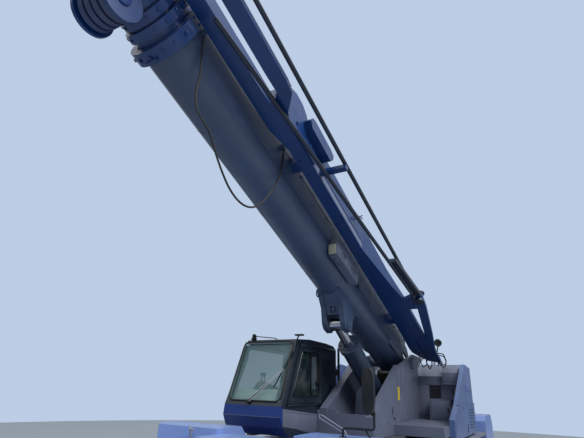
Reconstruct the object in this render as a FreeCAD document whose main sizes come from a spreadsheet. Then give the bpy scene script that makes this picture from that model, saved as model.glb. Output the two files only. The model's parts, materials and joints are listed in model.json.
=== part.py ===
import FreeCAD, Part
import math
import os
import Sketcher
from FreeCAD import Vector as V

os.makedirs("parts", exist_ok=True)
doc = FreeCAD.newDocument("mobile_crane")

# Driving sizes in millimetres and degrees. In the drawing frame X points forward from the slewing
# axis, Y to the machine's left and Z up from the ground. Columns: name, value, meaning.
SIZES = (
    ("row_shift", 1275.715, "middle of the overall length ahead of the slewing axis"),
    ("tyre_radius", 750.0, "outer radius of a tyre, also the axle height"),
    ("tyre_width", 530.0, "width of a tyre"),
    ("tyre_crown", 40.0, "drop of the tread at the shoulder"),
    ("rim_radius", 330.0, "radius where the tyre sits"),
    ("rim_wall", 22.0, "thickness of the rim barrel"),
    ("rim_disc", 30.0, "thickness of the rim disc"),
    ("disc_in", 60.0, "inner face of the rim disc inboard of the wheel centre"),
    ("seat_gap", 0.3, "paper gap between round pieces that touch"),
    ("run_gap", 5.0, "least gap between pieces that move past each other"),
    ("track_half", 1100.0, "wheel centre from the middle"),
    ("kingpin_out", 800.0, "steering axis from the middle"),
    ("kingpin_radius", 85.0, "radius of the steering barrel"),
    ("kingpin_half", 180.0, "half height of the steering barrel"),
    ("fork_gap", 10.0, "gap between the steering barrel and the axle fork"),
    ("fork_thick", 50.0, "thickness of a fork arm"),
    ("hub_radius", 150.0, "radius of the wheel hub"),
    ("axle_radius", 115.0, "radius of an axle tube"),
    ("diff_radius", 230.0, "radius of the drive casing"),
    ("front_axle", 2150.0, "front axle ahead of the slewing axis"),
    ("rear_axle", -2050.0, "rear axle"),
    ("skin_half", 1420.0, "half width over deck and fenders"),
    ("frame_half", 390.0, "half width of the main girder"),
    ("frame_low", 1000.0, "underside of the main girder"),
    ("frame_top", 1450.0, "top of the main girder"),
    ("front_end", 3900.0, "front of the carrier"),
    ("rear_end", -3900.0, "back of the carrier"),
    ("deck_low", 1560.0, "underside of the deck"),
    ("deck_thick", 50.0, "thickness of the deck"),
    ("deck_reach", 2900.0, "end of the low deck from the slewing axis"),
    ("fender_top", 1950.0, "top of the front fenders"),
    ("hood_top", 1900.0, "top of the engine hood"),
    ("sheet", 40.0, "thickness of covers and hoods"),
    ("stay_box_long", 400.0, "outrigger box along the machine"),
    ("stay_box_low", 800.0, "underside of an outrigger box"),
    ("stay_box_high", 450.0, "height of an outrigger box"),
    ("stay_box_half", 1090.0, "half length of an outrigger box"),
    ("end_inset", 50.0, "outrigger box behind the carrier's end"),
    ("stay_wall", 20.0, "wall of an outrigger box"),
    ("beam_clear", 10.0, "gap around an outrigger beam"),
    ("jack_out", 1210.0, "jack axis from the middle"),
    ("jack_radius", 88.0, "outer radius of a jack tube"),
    ("jack_bore", 70.0, "inner radius of a jack tube"),
    ("jack_rod", 60.0, "radius of a jack rod"),
    ("jack_top", 1240.0, "top of a jack tube"),
    ("jack_low", 560.0, "bottom of a jack tube"),
    ("float_radius", 195.0, "radius of an outrigger float"),
    ("float_low", 430.0, "underside of a raised float"),
    ("float_thick", 60.0, "thickness of a float"),
    ("ring_radius", 640.0, "radius of the slewing ring"),
    ("ring_top", 1695.0, "top of the slewing ring"),
    ("floor_low", 1700.0, "underside of the turntable floor"),
    ("floor_thick", 150.0, "thickness of the turntable floor"),
    ("floor_half", 1250.0, "half width of the turntable floor"),
    ("plate_left", 461.0, "outer face of the left main plate"),
    ("plate_right", -400.0, "outer face of the right main plate"),
    ("plate_thick", 50.0, "thickness of a main plate"),
    ("flange_wide", 120.0, "width of the flange along a main plate's front edge"),
    ("boom_angle", 22.5, "boom above the horizontal"),
    ("foot_back", 1260.0, "boom foot pin behind the slewing axis"),
    ("foot_high", 2860.0, "height of the boom foot pin"),
    ("foot_side", 40.0, "boom middle to the left of the slewing axis"),
    ("foot_half", 250.0, "half width of the boom foot"),
    ("foot_pin", 80.0, "radius of the boom foot pin"),
    ("boom_half", 290.0, "half width of the boom base"),
    ("boom_low", -260.0, "boom underside below the foot pin"),
    ("boom_high", 460.0, "boom top above the foot pin"),
    ("boom_long", 7130.0, "foot pin to the end of the base section"),
    ("first_step", 38.0, "how much further the second section shows"),
    ("step_long", 112.0, "how far each section shows past the last"),
    ("collar_long", 140.0, "length of the saddle collar round the base section"),
    ("collar_proud", 70.0, "how far that collar stands out"),
    ("ring_proud", 34.0, "how far an end ring stands out"),
    ("ring_long", 90.0, "length of a telescoping section's end ring"),
    ("section_wall", 26.0, "wall and gap of one boom section"),
    ("section_skin", 12.0, "wall of one boom section"),
    ("tail_front", -1880.0, "front of the counterweight"),
    ("tail_back", -2740.0, "back of the counterweight"),
    ("tail_top", 2860.0, "top of the counterweight"),
    ("tail_shoulder", 2630.0, "where the counterweight's front begins to slope"),
    ("tail_half", 1250.0, "half width of the counterweight"),
    ("cover_half", 1335.0, "outer face of the side covers"),
    ("cab_front", 2000.0, "cab front at the foot of the windscreen"),
    ("cab_left", -452.0, "left side of the cab"),
    ("cab_wide", 968.0, "width of the cab"),
    ("cab_sill", 2127.0, "foot of the windscreen"),
    ("cab_roof", 3058.0, "cab roof at the top of the windscreen"),
    ("cab_rake", 394.0, "how far the windscreen leans back"),
    ("cab_back", 202.0, "back of the cab"),
    ("cab_lean", 86.0, "how far the cab's right side leans in"),
    ("cab_low", 1740.0, "underside of the cab"),
    ("cab_wall", 45.0, "thickness of the cab walls"),
    ("pane", 6.0, "thickness of the cab glass"),
    ("eye_back", -900.0, "lower pin of the lift cylinder"),
    ("eye_high", 1980.0, "height of that pin"),
    ("lug_along", 2450.0, "lift pin along the boom"),
    ("lug_drop", 540.0, "lift pin below the foot line"),
    ("ram_radius", 160.0, "outer radius of the lift cylinder"),
    ("ram_bore", 95.0, "inner radius of the lift cylinder"),
    ("ram_rod", 80.0, "radius of the lift rod"),
    ("ram_long", 2000.0, "length of the lift cylinder barrel from its pin"),
    ("ram_eye", 95.0, "radius of the lift cylinder's eyes"),
    ("ram_eye_wide", 200.0, "width of those eyes"),
    ("jib_in", 450.0, "inner face of the stowed jib from the boom's middle"),
    ("jib_out", 630.0, "outer face of the stowed jib's box"),
    ("jib_heel", 835.0, "outer edge of the jib's wide heel"),
    ("jib_low", 180.0, "underside of the jib above the foot line"),
    ("jib_high", 560.0, "top of the jib above the foot line"),
    ("jib_long", 5950.0, "where the jib's box ends and its legs go on"),
    ("leg_end", 7900.0, "end of the jib's legs"),
    ("stay_radius", 26.0, "radius of the jib's tension rods"),
    ("hose_radius", 11.0, "radius of the hanging hose"),
    ("hose_out", 30.0, "the hose's plane out from the boom's left side"),
)

sheet = doc.addObject("Spreadsheet::Sheet", "Sizes")
for row, (name, value, meaning) in enumerate(SIZES, start=1):
    sheet.set("A%d" % row, name)
    sheet.set("B%d" % row, "%.6g" % value)
    sheet.set("C%d" % row, meaning)
    sheet.setAlias("B%d" % row, name)
doc.recompute()


class Size:
    """A number together with the sheet formula that gives it."""

    def __init__(self, value, text):
        self.value = float(value)
        self.text = text

    def __add__(self, other):
        other = as_size(other)
        return Size(self.value + other.value, "(%s + %s)" % (self.text, other.text))

    __radd__ = __add__

    def __sub__(self, other):
        other = as_size(other)
        return Size(self.value - other.value, "(%s - %s)" % (self.text, other.text))

    def __rsub__(self, other):
        return as_size(other) - self

    def __mul__(self, factor):
        return Size(self.value * factor, "(%s * %.6g)" % (self.text, factor))

    __rmul__ = __mul__

    def __neg__(self):
        return Size(-self.value, "(0 - %s)" % self.text)


def as_size(number):
    if isinstance(number, Size):
        return number
    return Size(number, "(%.6f)" % number)


class Book:
    """Every named size as an attribute."""


S = Book()
for name, value, meaning in SIZES:
    setattr(S, name, Size(value, "Sizes." + name))
ZERO = Size(0, "0")
NODES = []
PLANES = {"XY": "XY_Plane", "XZ": "XZ_Plane", "YZ": "YZ_Plane"}
TURNS = {"X": (V(0, 1, 0), 90.0), "Y": (V(1, 0, 0), -90.0), "Z": (V(0, 0, 1), 0.0)}


def drive(obj, prop, size):
    """Give a property its value and bind it to the sheet."""
    size = as_size(size)
    if "." not in prop:
        setattr(obj, prop, size.value)
    obj.setExpression(prop, size.text)


def place(obj, x, y, z):
    """Put an object at a point of the drawing frame, moved into the row frame."""
    drive(obj, "Placement.Base.x", as_size(x) - S.row_shift)
    drive(obj, "Placement.Base.y", y)
    drive(obj, "Placement.Base.z", z)


def raw(obj, x=ZERO, y=ZERO, z=ZERO):
    """Keep an object in the level boom's or level cylinder's own frame."""
    for axis, where in zip("xyz", (x, y, z)):
        drive(obj, "Placement.Base." + axis, where)
    return obj


def flat_sketch(body, plane, offset):
    sketch = body.newObject("Sketcher::SketchObject", body.Name + "_sketch")
    origin = [f for f in body.Origin.OriginFeatures if f.Role == PLANES[plane]][0]
    sketch.AttachmentSupport = [(origin, "")]
    sketch.MapMode = "FlatFace"
    offset = as_size(offset)
    sketch.AttachmentOffset = FreeCAD.Placement(V(0, 0, offset.value), FreeCAD.Rotation())
    sketch.setExpression("AttachmentOffset.Base.z", offset.text)
    sketch.Visibility = False
    return sketch


def pin_point(sketch, edge, end, point):
    """Hold one end of a sketch edge at a point driven by the sheet."""
    for kind, size in (("DistanceX", point[0]), ("DistanceY", point[1])):
        size = as_size(size)
        index = sketch.addConstraint(Sketcher.Constraint(kind, -1, 1, edge, end, size.value))
        sketch.setExpression("Constraints[%d]" % index, size.text)


def outline(sketch, points):
    """A closed outline of straight edges."""
    count = len(points)
    values = [V(as_size(u).value, as_size(v).value, 0) for u, v in points]
    for i in range(count):
        sketch.addGeometry(Part.LineSegment(values[i], values[(i + 1) % count]), False)
    for i in range(count):
        sketch.addConstraint(Sketcher.Constraint("Coincident", i, 2, (i + 1) % count, 1))
    for i in range(count):
        pin_point(sketch, i, 1, points[i])


def ring(sketch, centre, radius):
    """A round hole in an outline."""
    radius = as_size(radius)
    middle = V(as_size(centre[0]).value, as_size(centre[1]).value, 0)
    edge = sketch.addGeometry(Part.Circle(middle, V(0, 0, 1), radius.value), False)
    index = sketch.addConstraint(Sketcher.Constraint("Radius", edge, radius.value))
    sketch.setExpression("Constraints[%d]" % index, radius.text)
    pin_point(sketch, edge, 3, centre)


def pad(body, sketch, length):
    feature = body.newObject("PartDesign::Pad", body.Name + "_pad")
    feature.Profile = sketch
    drive(feature, "Length", length)
    return feature


def prism(label, plane, points, start, end, holes=(), level=False):
    """An outline padded from start to end along the third axis; level pieces stay in their own frame."""
    body = doc.addObject("PartDesign::Body", label)
    start, end = as_size(start), as_size(end)
    sketch = flat_sketch(body, plane, -end if plane == "XZ" else start)
    outline(sketch, points)
    for centre, radius in holes:
        ring(sketch, centre, radius)
    pad(body, sketch, end - start)
    if not level:
        place(body, ZERO, ZERO, ZERO)
    return body


def lathe(label, points, axis, centre):
    """A profile of (radius, along) pairs turned about an axis through a centre point."""
    body = doc.addObject("PartDesign::Body", label)
    sketch = flat_sketch(body, "XZ", ZERO)
    outline(sketch, points)
    turn = body.newObject("PartDesign::Revolution", body.Name + "_turn")
    turn.Profile = sketch
    turn.ReferenceAxis = (sketch, ["V_Axis"])
    turn.Angle = 360.0
    body.Placement = FreeCAD.Placement(V(0, 0, 0), FreeCAD.Rotation(*TURNS[axis]))
    place(body, *centre)
    return body


def box(label, corner, size, level=False):
    """A block from its low corner and its three lengths."""
    obj = doc.addObject("Part::Box", label)
    for prop, length in zip(("Length", "Width", "Height"), size):
        drive(obj, prop, length)
    if level:
        return raw(obj, *corner)
    place(obj, *corner)
    return obj


def rod(label, radius, length, start, axis, level=False):
    """A round bar from a start point along a main axis."""
    obj = doc.addObject("Part::Cylinder", label)
    drive(obj, "Radius", radius)
    drive(obj, "Height", length)
    obj.Placement = FreeCAD.Placement(V(0, 0, 0), FreeCAD.Rotation(*TURNS[axis]))
    if level:
        return raw(obj, *start)
    place(obj, *start)
    return obj


def fuse(label, members):
    obj = doc.addObject("Part::MultiFuse", label)
    obj.Shapes = members
    return obj


def common(label, members):
    obj = doc.addObject("Part::MultiCommon", label)
    obj.Shapes = members
    return obj


def cut(label, base, tool):
    obj = doc.addObject("Part::Cut", label)
    obj.Base = base
    obj.Tool = tool
    return obj


def group(label, members):
    """Like pieces on one body, as solids that don't touch."""
    obj = doc.addObject("Part::Compound", label)
    obj.Links = members
    return obj


def onto_boom(obj, across=ZERO):
    """Move a shape drawn along the level boom onto the raised boom, and across it where asked."""
    obj.Placement = FreeCAD.Placement(V(0, 0, 0), FreeCAD.Rotation(V(0, -1, 0), S.boom_angle.value))
    obj.setExpression("Placement.Rotation.Angle", "Sizes.boom_angle")
    place(obj, -S.foot_back, S.foot_side + across, S.foot_high)
    return obj


def node(obj, name):
    obj.Label = name
    NODES.append((name, obj))
    return obj


def rect(u0, v0, u1, v1):
    return ((u0, v0), (u1, v0), (u1, v1), (u0, v1))


# Main girder with outrigger boxes, cross members, bumpers and the ring's pedestal
girder = box("girder", (S.rear_end + S.end_inset, -S.frame_half, S.frame_low),
             (S.front_end - S.rear_end - 2 * S.end_inset, 2 * S.frame_half, S.frame_top - S.frame_low))
engine_bay = box("engine_bay", (S.rear_end, -500, S.stay_box_low + S.stay_box_high + 5), (1000, 1000, 800))
box_starts = {"front": S.front_end - S.end_inset - S.stay_box_long, "rear": S.rear_end + S.end_inset}
outers = []
hollows = [engine_bay]
for end, start in box_starts.items():
    outers.append(box("stay_outer_" + end, (start, -S.stay_box_half, S.stay_box_low),
                      (S.stay_box_long, 2 * S.stay_box_half, S.stay_box_high)))
    hollows.append(box("stay_inner_" + end,
                       (start + S.stay_wall, -S.stay_box_half - 10, S.stay_box_low + S.stay_wall),
                       (S.stay_box_long - 2 * S.stay_wall, 2 * S.stay_box_half + 20,
                        S.stay_box_high - 2 * S.stay_wall)))
pedestal = rod("pedestal", S.ring_radius - 60, S.deck_low + 60 - S.frame_top,
               (ZERO, ZERO, S.frame_top - 20), "Z")
# Columns: start, length, half width, underside, top.
BEARERS = ((-2890, 60, 1300, 1450, 1560), (1225, 60, 1350, 1450, 1560), (2820, 70, 1350, 1450, 1560),
           (-1110, 50, 1350, 1450, 1560), (-900, 120, 605, 1050, 1250), (800, 120, 605, 1050, 1250),
           (3850, 50, 700, 780, 1250), (-3900, 50, 700, 780, 1250))
bearers = [box("bearer_%d" % i, (x0, -half, z0), (long, 2 * half, z1 - z0))
           for i, (x0, long, half, z0, z1) in enumerate(BEARERS)]
frame_whole = fuse("frame_whole", [girder, pedestal] + bearers + outers)
node(cut("frame_cut", frame_whole, fuse("frame_hollow", hollows)), "chassis_frame")

# Slewing ring between pedestal and turntable
node(rod("slew_ring", S.ring_radius, S.ring_top - S.deck_low - 40, (ZERO, ZERO, S.deck_low + 40), "Z"),
     "slewing_ring")

# Outrigger beams with jack tubes, and the floats on their rods
lane = (S.stay_box_long - 2 * S.stay_wall - 3 * S.beam_clear) * 0.5
beam_low = S.stay_box_low + S.stay_wall + S.beam_clear
beam_high = S.stay_box_high - 2 * S.stay_wall - 2 * S.beam_clear
beam_reach = S.jack_out - S.jack_bore - 5
beam_short = S.stay_box_half - 60
for end, first in box_starts.items():
    for side, shift in (("left", S.stay_wall + S.beam_clear),
                        ("right", S.stay_box_long - S.stay_wall - S.beam_clear - lane)):
        tag = end + "_" + side
        start = first + shift
        beam_y = -beam_short if side == "left" else -beam_reach
        jack_y = S.jack_out if side == "left" else -S.jack_out
        jack_x = start + 0.5 * lane
        beam = box("beam_" + tag, (start, beam_y, beam_low), (lane, beam_reach + beam_short, beam_high))
        tube = rod("tube_" + tag, S.jack_radius, S.jack_top - S.jack_low, (jack_x, jack_y, S.jack_low), "Z")
        bore = rod("bore_" + tag, S.jack_bore, S.jack_top - S.jack_low - 20,
                   (jack_x, jack_y, S.jack_low), "Z")
        node(cut("cut_" + tag, fuse("both_" + tag, [beam, tube]), bore), "outrigger_beam_" + tag)
        stem = rod("stem_" + tag, S.jack_rod, S.jack_top - S.float_low - 80,
                   (jack_x, jack_y, S.float_low + 20), "Z")
        foot = rod("foot_" + tag, S.float_radius, S.float_thick, (jack_x, jack_y, S.float_low), "Z")
        node(fuse("float_" + tag, [stem, foot]), "outrigger_float_" + tag)

# Low deck with its round hole, and the locker between the front fenders
deck_plate = prism("deck_plate", "XY", rect(-S.deck_reach, -S.skin_half, S.deck_reach, S.skin_half),
                   S.deck_low, S.deck_low + S.deck_thick, holes=(((0.001, 0.001), S.ring_radius + 15),))
node(deck_plate, "deck")
LOCKER = ((3330, 1450), (3849, 1450), (3849, 1760), (3790, 1900), (3330, 1900))
node(prism("front_locker_body", "XZ", LOCKER, -385, 420), "front_locker")

# Front fenders: stepped side outline cut to a plan with one bevelled corner
FENDER_SIDE = ((S.deck_reach, 1400), (3000, 1250), (S.front_end, 1250), (S.front_end, 1580), (3860, 1620),
               (3500, 1660), (3430, S.fender_top), (2985, S.fender_top), (S.deck_reach, 1860))
fenders = []
for side, sign in (("left", 1), ("right", -1)):
    near = 560 if sign > 0 else 391
    plan = [(2800, near), (4000, near), (4000, 760), (3250, S.skin_half), (2800, S.skin_half)]
    plan = [(x, as_size(y) * sign) for x, y in plan]
    low, high = (near, S.skin_half) if sign > 0 else (-S.skin_half, -near)
    slab = prism("fender_side_" + side, "XZ", FENDER_SIDE, low, high)
    mask = prism("fender_plan_" + side, "XY", plan, 1200, 2000)
    fenders.append(common("fender_" + side, [slab, mask]))
node(group("fender_pair", fenders), "front_fenders")

# Tank and tool box between the wheels
CHEST = ((605, 830), (1260, 830), (1400, 960), (1400, S.deck_low), (605, S.deck_low))
chests = [prism("chest_" + side, "YZ", [(as_size(y) * sign, z) for y, z in CHEST], -1050, 1150)
          for side, sign in (("left", 1), ("right", -1))]
node(group("chest_pair", chests), "side_boxes")

# Engine hood over a plain engine block
HOOD = ((-S.deck_reach, 1400), (-S.deck_reach, 1800), (-2985, S.hood_top), (-3770, S.hood_top),
        (S.rear_end, 1720), (S.rear_end, 1255), (-3000, 1255))
HOOD_INSIDE = ((-S.deck_reach - S.sheet, 1200), (-S.deck_reach - S.sheet, 1785),
               (-3000, S.hood_top - S.sheet),
               (-3755, S.hood_top - S.sheet), (S.rear_end + S.sheet, 1705), (S.rear_end + S.sheet, 1200))
hood_out = prism("hood_out", "XZ", HOOD, -S.skin_half, S.skin_half)
hood_in = prism("hood_in", "XZ", HOOD_INSIDE, -S.skin_half + S.sheet, S.skin_half - S.sheet)
node(cut("hood_cut", hood_out, hood_in), "engine_hood")
node(box("engine", (-3780, -400, S.stay_box_low + S.stay_box_high + 5), (800, 800, 540)), "engine_block")

# Axles on leaf springs, steering knuckles, rims and tyres
# Columns: along, across, underside, length, width, height of the axle's saddles, and of the spring
# packs with their hangers.
SADDLES = tuple((-60, y, S.tyre_radius + 10, 120, 80, 865 - S.tyre_radius) for y in (-375, 295))
SPRINGS = tuple((dx, y, z, long, 80, tall) for y in (-375, 295)
                for dx, z, long, tall in ((-400, 875, 800, 60), (-380, 935, 70, 65), (310, 935, 70, 65)))
packs = []
for end, x in (("front", S.front_axle), ("rear", S.rear_axle)):
    beam_half = S.kingpin_out - S.kingpin_radius - 30
    pieces = [rod("axle_tube_" + end, S.axle_radius, 2 * beam_half, (x, -beam_half, S.tyre_radius), "Y"),
              rod("axle_casing_" + end, S.diff_radius, 260, (x, -130, S.tyre_radius), "Y")]
    fork_z = S.kingpin_half + S.fork_gap
    for side, sign in (("left", 1), ("right", -1)):
        cheek_y = beam_half - 40 if sign > 0 else -beam_half
        pieces.append(box("cheek_%s_%s" % (end, side),
                          (x - 90, cheek_y, S.tyre_radius - fork_z - S.fork_thick),
                          (180, 40, 2 * fork_z + 2 * S.fork_thick)))
        arm_y = beam_half - 40 if sign > 0 else -beam_half - 200
        for level, z in (("low", S.tyre_radius - fork_z - S.fork_thick), ("top", S.tyre_radius + fork_z)):
            pieces.append(box("arm_%s_%s_%s" % (end, side, level), (x - 80, arm_y, z),
                              (160, 240, S.fork_thick)))
    for i, (dx, y, z, long, wide, tall) in enumerate(SADDLES):
        pieces.append(box("saddle_%s_%d" % (end, i), (x + dx, y, z), (long, wide, tall)))
    for i, (dx, y, z, long, wide, tall) in enumerate(SPRINGS):
        packs.append(box("spring_%s_%d" % (end, i), (x + dx, y, z), (long, wide, tall)))
    node(fuse("axle_" + end, pieces), end + "_axle")
    for side, sign in (("left", 1), ("right", -1)):
        tag = end + "_" + side
        pin_y = S.kingpin_out * sign
        barrel = rod("barrel_" + tag, S.kingpin_radius, 2 * S.kingpin_half,
                     (x, pin_y, S.tyre_radius - S.kingpin_half), "Z")
        hub_long = S.track_half - S.kingpin_out - S.disc_in - S.run_gap
        hub_y = pin_y if sign > 0 else pin_y - hub_long
        hub = rod("hub_" + tag, S.hub_radius, hub_long, (x, hub_y, S.tyre_radius), "Y")
        node(fuse("knuckle_" + tag, [barrel, hub]), tag + "_knuckle")
        wheel = (x, S.track_half * sign, S.tyre_radius)
        half = S.tyre_width * 0.5
        bead = half - 35
        tyre = ((S.rim_radius, -bead), (S.rim_radius + 60, -bead - 15), (S.tyre_radius - 220, -half),
                (S.tyre_radius - 110, -half), (S.tyre_radius - S.tyre_crown, -half + 50),
                (S.tyre_radius, -half + 150), (S.tyre_radius, half - 150),
                (S.tyre_radius - S.tyre_crown, half - 50), (S.tyre_radius - 110, half),
                (S.tyre_radius - 220, half), (S.rim_radius + 60, bead + 15), (S.rim_radius, bead))
        node(lathe("tyre_" + tag, tyre, "Y", wheel), tag + "_tyre")
        outer = S.rim_radius - S.seat_gap
        inner = outer - S.rim_wall
        flange = bead + 10
        # Columns: radius, distance outboard of the wheel centre.
        rim = ((outer, -flange), (outer, flange), (inner, flange), (inner, -S.disc_in + S.rim_disc),
               (190, -S.disc_in + S.rim_disc), (175, 90), (120, 100), (110, 135), (ZERO, 135),
               (ZERO, -S.disc_in), (inner, -S.disc_in), (inner, -flange))
        rim = [(r, as_size(y) * sign) for r, y in rim]
        node(lathe("rim_" + tag, rim, "Y", wheel), tag + "_rim")

packs = [fuse("spring_pack_%d" % i, packs[3 * i:3 * i + 3]) for i in range(4)]
node(group("spring_packs", packs), "leaf_springs")

# Turntable: floor, front wall, cylinder ears, cab arms and rear locker
inner_edge = S.cab_left + S.run_gap
boom_mid = S.foot_side
floor_top = S.floor_low + S.floor_thick
FLOOR = ((S.tail_front, -S.floor_half), (190, -S.floor_half), (190, inner_edge), (930, inner_edge),
         (930, S.plate_left), (0, S.plate_left), (0, S.floor_half), (S.tail_front, S.floor_half))
floor_plate = prism("floor_plate", "XY", FLOOR, S.floor_low, floor_top)
well = box("well", (-1200, -320, S.floor_low + 60), (2070, 710, 200))
pieces = [cut("floor_cut", floor_plate, well)]
EAR = ((-1060, 1755), (-740, 1755), (-800, 2040), (-860, 2080), (-940, 2080), (-1000, 2040))
for side, ear_y, pin_y in (("left", boom_mid + 115, boom_mid + 105),
                           ("right", boom_mid - 155, boom_mid - 170)):
    pieces.append(rod("ear_pin_" + side, 60, 65, (S.eye_back, pin_y, S.eye_high), "Y"))
    pieces.append(prism("ear_" + side, "XZ", EAR, ear_y, ear_y + 40))
wall_low = S.plate_right + S.flange_wide
wall_wide = S.plate_left - S.plate_right - 2 * S.flange_wide
# Columns: name, low corner, lengths.
BLOCKS = (("front_wall", (880, wall_low, floor_top - 10), (50, wall_wide, 180)),
          ("front_step", (850, wall_low, floor_top - 10), (60, 160, 230)),
          ("arm_out", (150, -1240, S.floor_low), (1500, 110, 40)),
          ("arm_in", (150, -700, S.floor_low), (1500, 110, 40)),
          ("rear_locker", (S.tail_front, 660, floor_top - 10), (300, 400, 370)))
for name, corner, size in BLOCKS:
    pieces.append(box(name, corner, size))
node(fuse("turntable", pieces), "turntable_frame")

# Main plates that carry the boom's foot: each a plate, its front flange, a boss and a cap
PLATE_LEFT = ((930, floor_top), (930, 1990), (800, 2020), (515, 2225), (-520, 2785), (-1378, 3013),
              (-2160, 2972), (-2110, 2950), (-444, 2300), (-379, 2030), (-269, floor_top))
FLANGE_LEFT = ((930, floor_top), (930, 1990), (800, 2020), (515, 2225), (-520, 2785), (-539, 2750),
               (494, 2191), (783, 1983), (890, 1958), (890, floor_top))
PLATE_RIGHT = ((930, floor_top), (930, 2085), (-470, 2870), (-1378, 3013), (-2160, 2972), (-2110, 2950),
               (-444, 2300), (-379, 2030), (-269, floor_top))
FLANGE_RIGHT = ((930, floor_top), (930, 2085), (-470, 2870), (-490, 2835), (890, 2061), (890, floor_top))
stub_gap = S.foot_half + 8
for side, face, sign, plate, flange in (("left", S.plate_left, -1, PLATE_LEFT, FLANGE_LEFT),
                                        ("right", S.plate_right, 1, PLATE_RIGHT, FLANGE_RIGHT)):
    inner = face + S.plate_thick * sign
    lip = face + S.flange_wide * sign
    low, high = (inner, face) if sign < 0 else (face, inner)
    lip_low, lip_high = (lip, face) if sign < 0 else (face, lip)
    stub_low, stub_high = (boom_mid + stub_gap, face + 30) if sign < 0 else (face - 30, boom_mid - stub_gap)
    pieces = [prism("plate_body_" + side, "XZ", plate, low, high),
              prism("plate_lip_" + side, "XZ", flange, lip_low, lip_high),
              rod("foot_boss_" + side, S.foot_pin, stub_high - stub_low,
                  (-S.foot_back, stub_low, S.foot_high), "Y"),
              rod("foot_cap_" + side, S.foot_pin + 40, 20,
                  (-S.foot_back, face if sign < 0 else face - 20, S.foot_high), "Y")]
    if side == "left":
        tie_low = S.plate_right + S.plate_thick
        pieces.append(box("rear_tie", (-1690, tie_low, 2830), (60, inner - tie_low, 110)))
    node(fuse("plate_" + side, pieces), "side_plate_" + side)

# Counterweight with bevelled corners and a sloping front
BEVEL = ((S.tail_front, -S.tail_half), (S.tail_front, S.tail_half), (-2380, S.tail_half), (S.tail_back, 650),
         (S.tail_back, -650), (-2380, -S.tail_half))
SLOPE = ((-1800, S.tail_shoulder), (S.tail_front, S.tail_shoulder), (-2200, S.tail_top), (-2200, 2900),
         (-1800, 2900))
tail_block = prism("tail_block", "XY", BEVEL, S.floor_low, S.tail_top)
node(cut("tail", tail_block, prism("tail_slope", "XZ", SLOPE, -1300, 1300)), "counterweight")

# Side covers whose front edges step down towards the cab
COVER_HIGH = ((-2350, 2147), (-2350, 2800), (-1800, 2850), (-790, 2147))
COVER_LOW = ((-2350, 1640), (-2350, 2147), (-790, 2147), (-380, 1943), (-380, 1640))
covers = []
for side, sign in (("left", 1), ("right", -1)):
    panels = []
    for tag, panel, face in (("high", COVER_HIGH, S.cover_half - 15), ("low", COVER_LOW, S.cover_half)):
        low, high = (S.floor_half, face) if sign > 0 else (-face, -S.floor_half)
        panels.append(prism("cover_%s_%s" % (side, tag), "XZ", panel, low, high))
    covers.append(fuse("cover_" + side, panels))
node(group("cover_pair", covers), "side_covers")

# Two winch drums on their stands
pieces = []
for tag, x, z, radius in (("main", -1560, 2190, 190), ("second", -1390, 2560, 130)):
    pieces.append(rod("drum_" + tag, radius, 500, (x, -210, z), "Y"))
    for side, y in (("left", 290), ("right", -230)):
        pieces.append(rod("flange_%s_%s" % (tag, side), radius + 50, 20, (x, y, z), "Y"))
STAND = ((-1720, 1850), (-1330, 1850), (-1300, 2600), (-1400, 2700), (-1480, 2620), (-1720, 2250))
for side, y in (("left", 310), ("right", -250)):
    pieces.append(prism("stand_" + side, "XZ", STAND, y, y + 20))
node(fuse("winch_all", pieces), "winch")

# Cab: lower body, upper frame with windows, panes, sliding door, seat and controls
cab_right = S.cab_left - S.cab_wide
wall = S.cab_wall
LOWER = ((S.cab_front, S.cab_sill), (2020, 1990), (1950, 1855), (1780, S.cab_low), (S.cab_back, S.cab_low),
         (S.cab_back, S.cab_sill))
LOWER_INSIDE = ((S.cab_front - 50, 2140), (1966, 1995), (1908, 1885), (1762, S.cab_low + wall),
                (S.cab_back + wall, S.cab_low + wall), (S.cab_back + wall, 2140))
lower_out = prism("cab_lower_out", "XZ", LOWER, cab_right, S.cab_left)
lower_in = prism("cab_lower_in", "XZ", LOWER_INSIDE, cab_right + wall, S.cab_left - wall)
node(cut("cab_lower", lower_out, lower_in), "cab_body")
sill = S.cab_sill + 0.5
brow = S.cab_front - S.cab_rake
UPPER = ((S.cab_front, sill), (brow, S.cab_roof), (1182, 3086), (600, 3074), (310, 3050), (S.cab_back, 2990),
         (S.cab_back, sill))
UPPER_INSIDE = ((S.cab_front - 50, 2120), (brow - 36, 3012), (1182, 3040), (600, 3029), (330, 3006),
                (S.cab_back + wall, 2964), (S.cab_back + wall, 2120))
LEAN = ((S.cab_left, 2100), (S.cab_left, 3100), (cab_right + S.cab_lean, 3100), (cab_right, S.cab_sill),
        (cab_right, 2100))
LEAN_INSIDE = ((S.cab_left - wall, 2090), (S.cab_left - wall, 3110), (cab_right + S.cab_lean + wall, 3110),
               (cab_right + wall, S.cab_sill), (cab_right + wall, 2090))
shell_out = common("cab_shell_out", [prism("upper_out", "XZ", UPPER, cab_right, S.cab_left),
                                     prism("lean_out", "YZ", LEAN, 100, 2100)])
shell_in = common("cab_shell_in", [prism("upper_in", "XZ", UPPER_INSIDE, cab_right, S.cab_left),
                                   prism("lean_in", "YZ", LEAN_INSIDE, 100, 2100)])
LEFT_DOORWAY = ((1835, 2185), (1520, 2940), (870, 2940), (870, 2185))
LEFT_REAR = ((790, 2300), (790, 2800), (700, 2800), (700, 2300))
RIGHT_WINDOW = ((1850, 2190), (1545, 2950), (340, 2930), (340, 2190))
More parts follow.
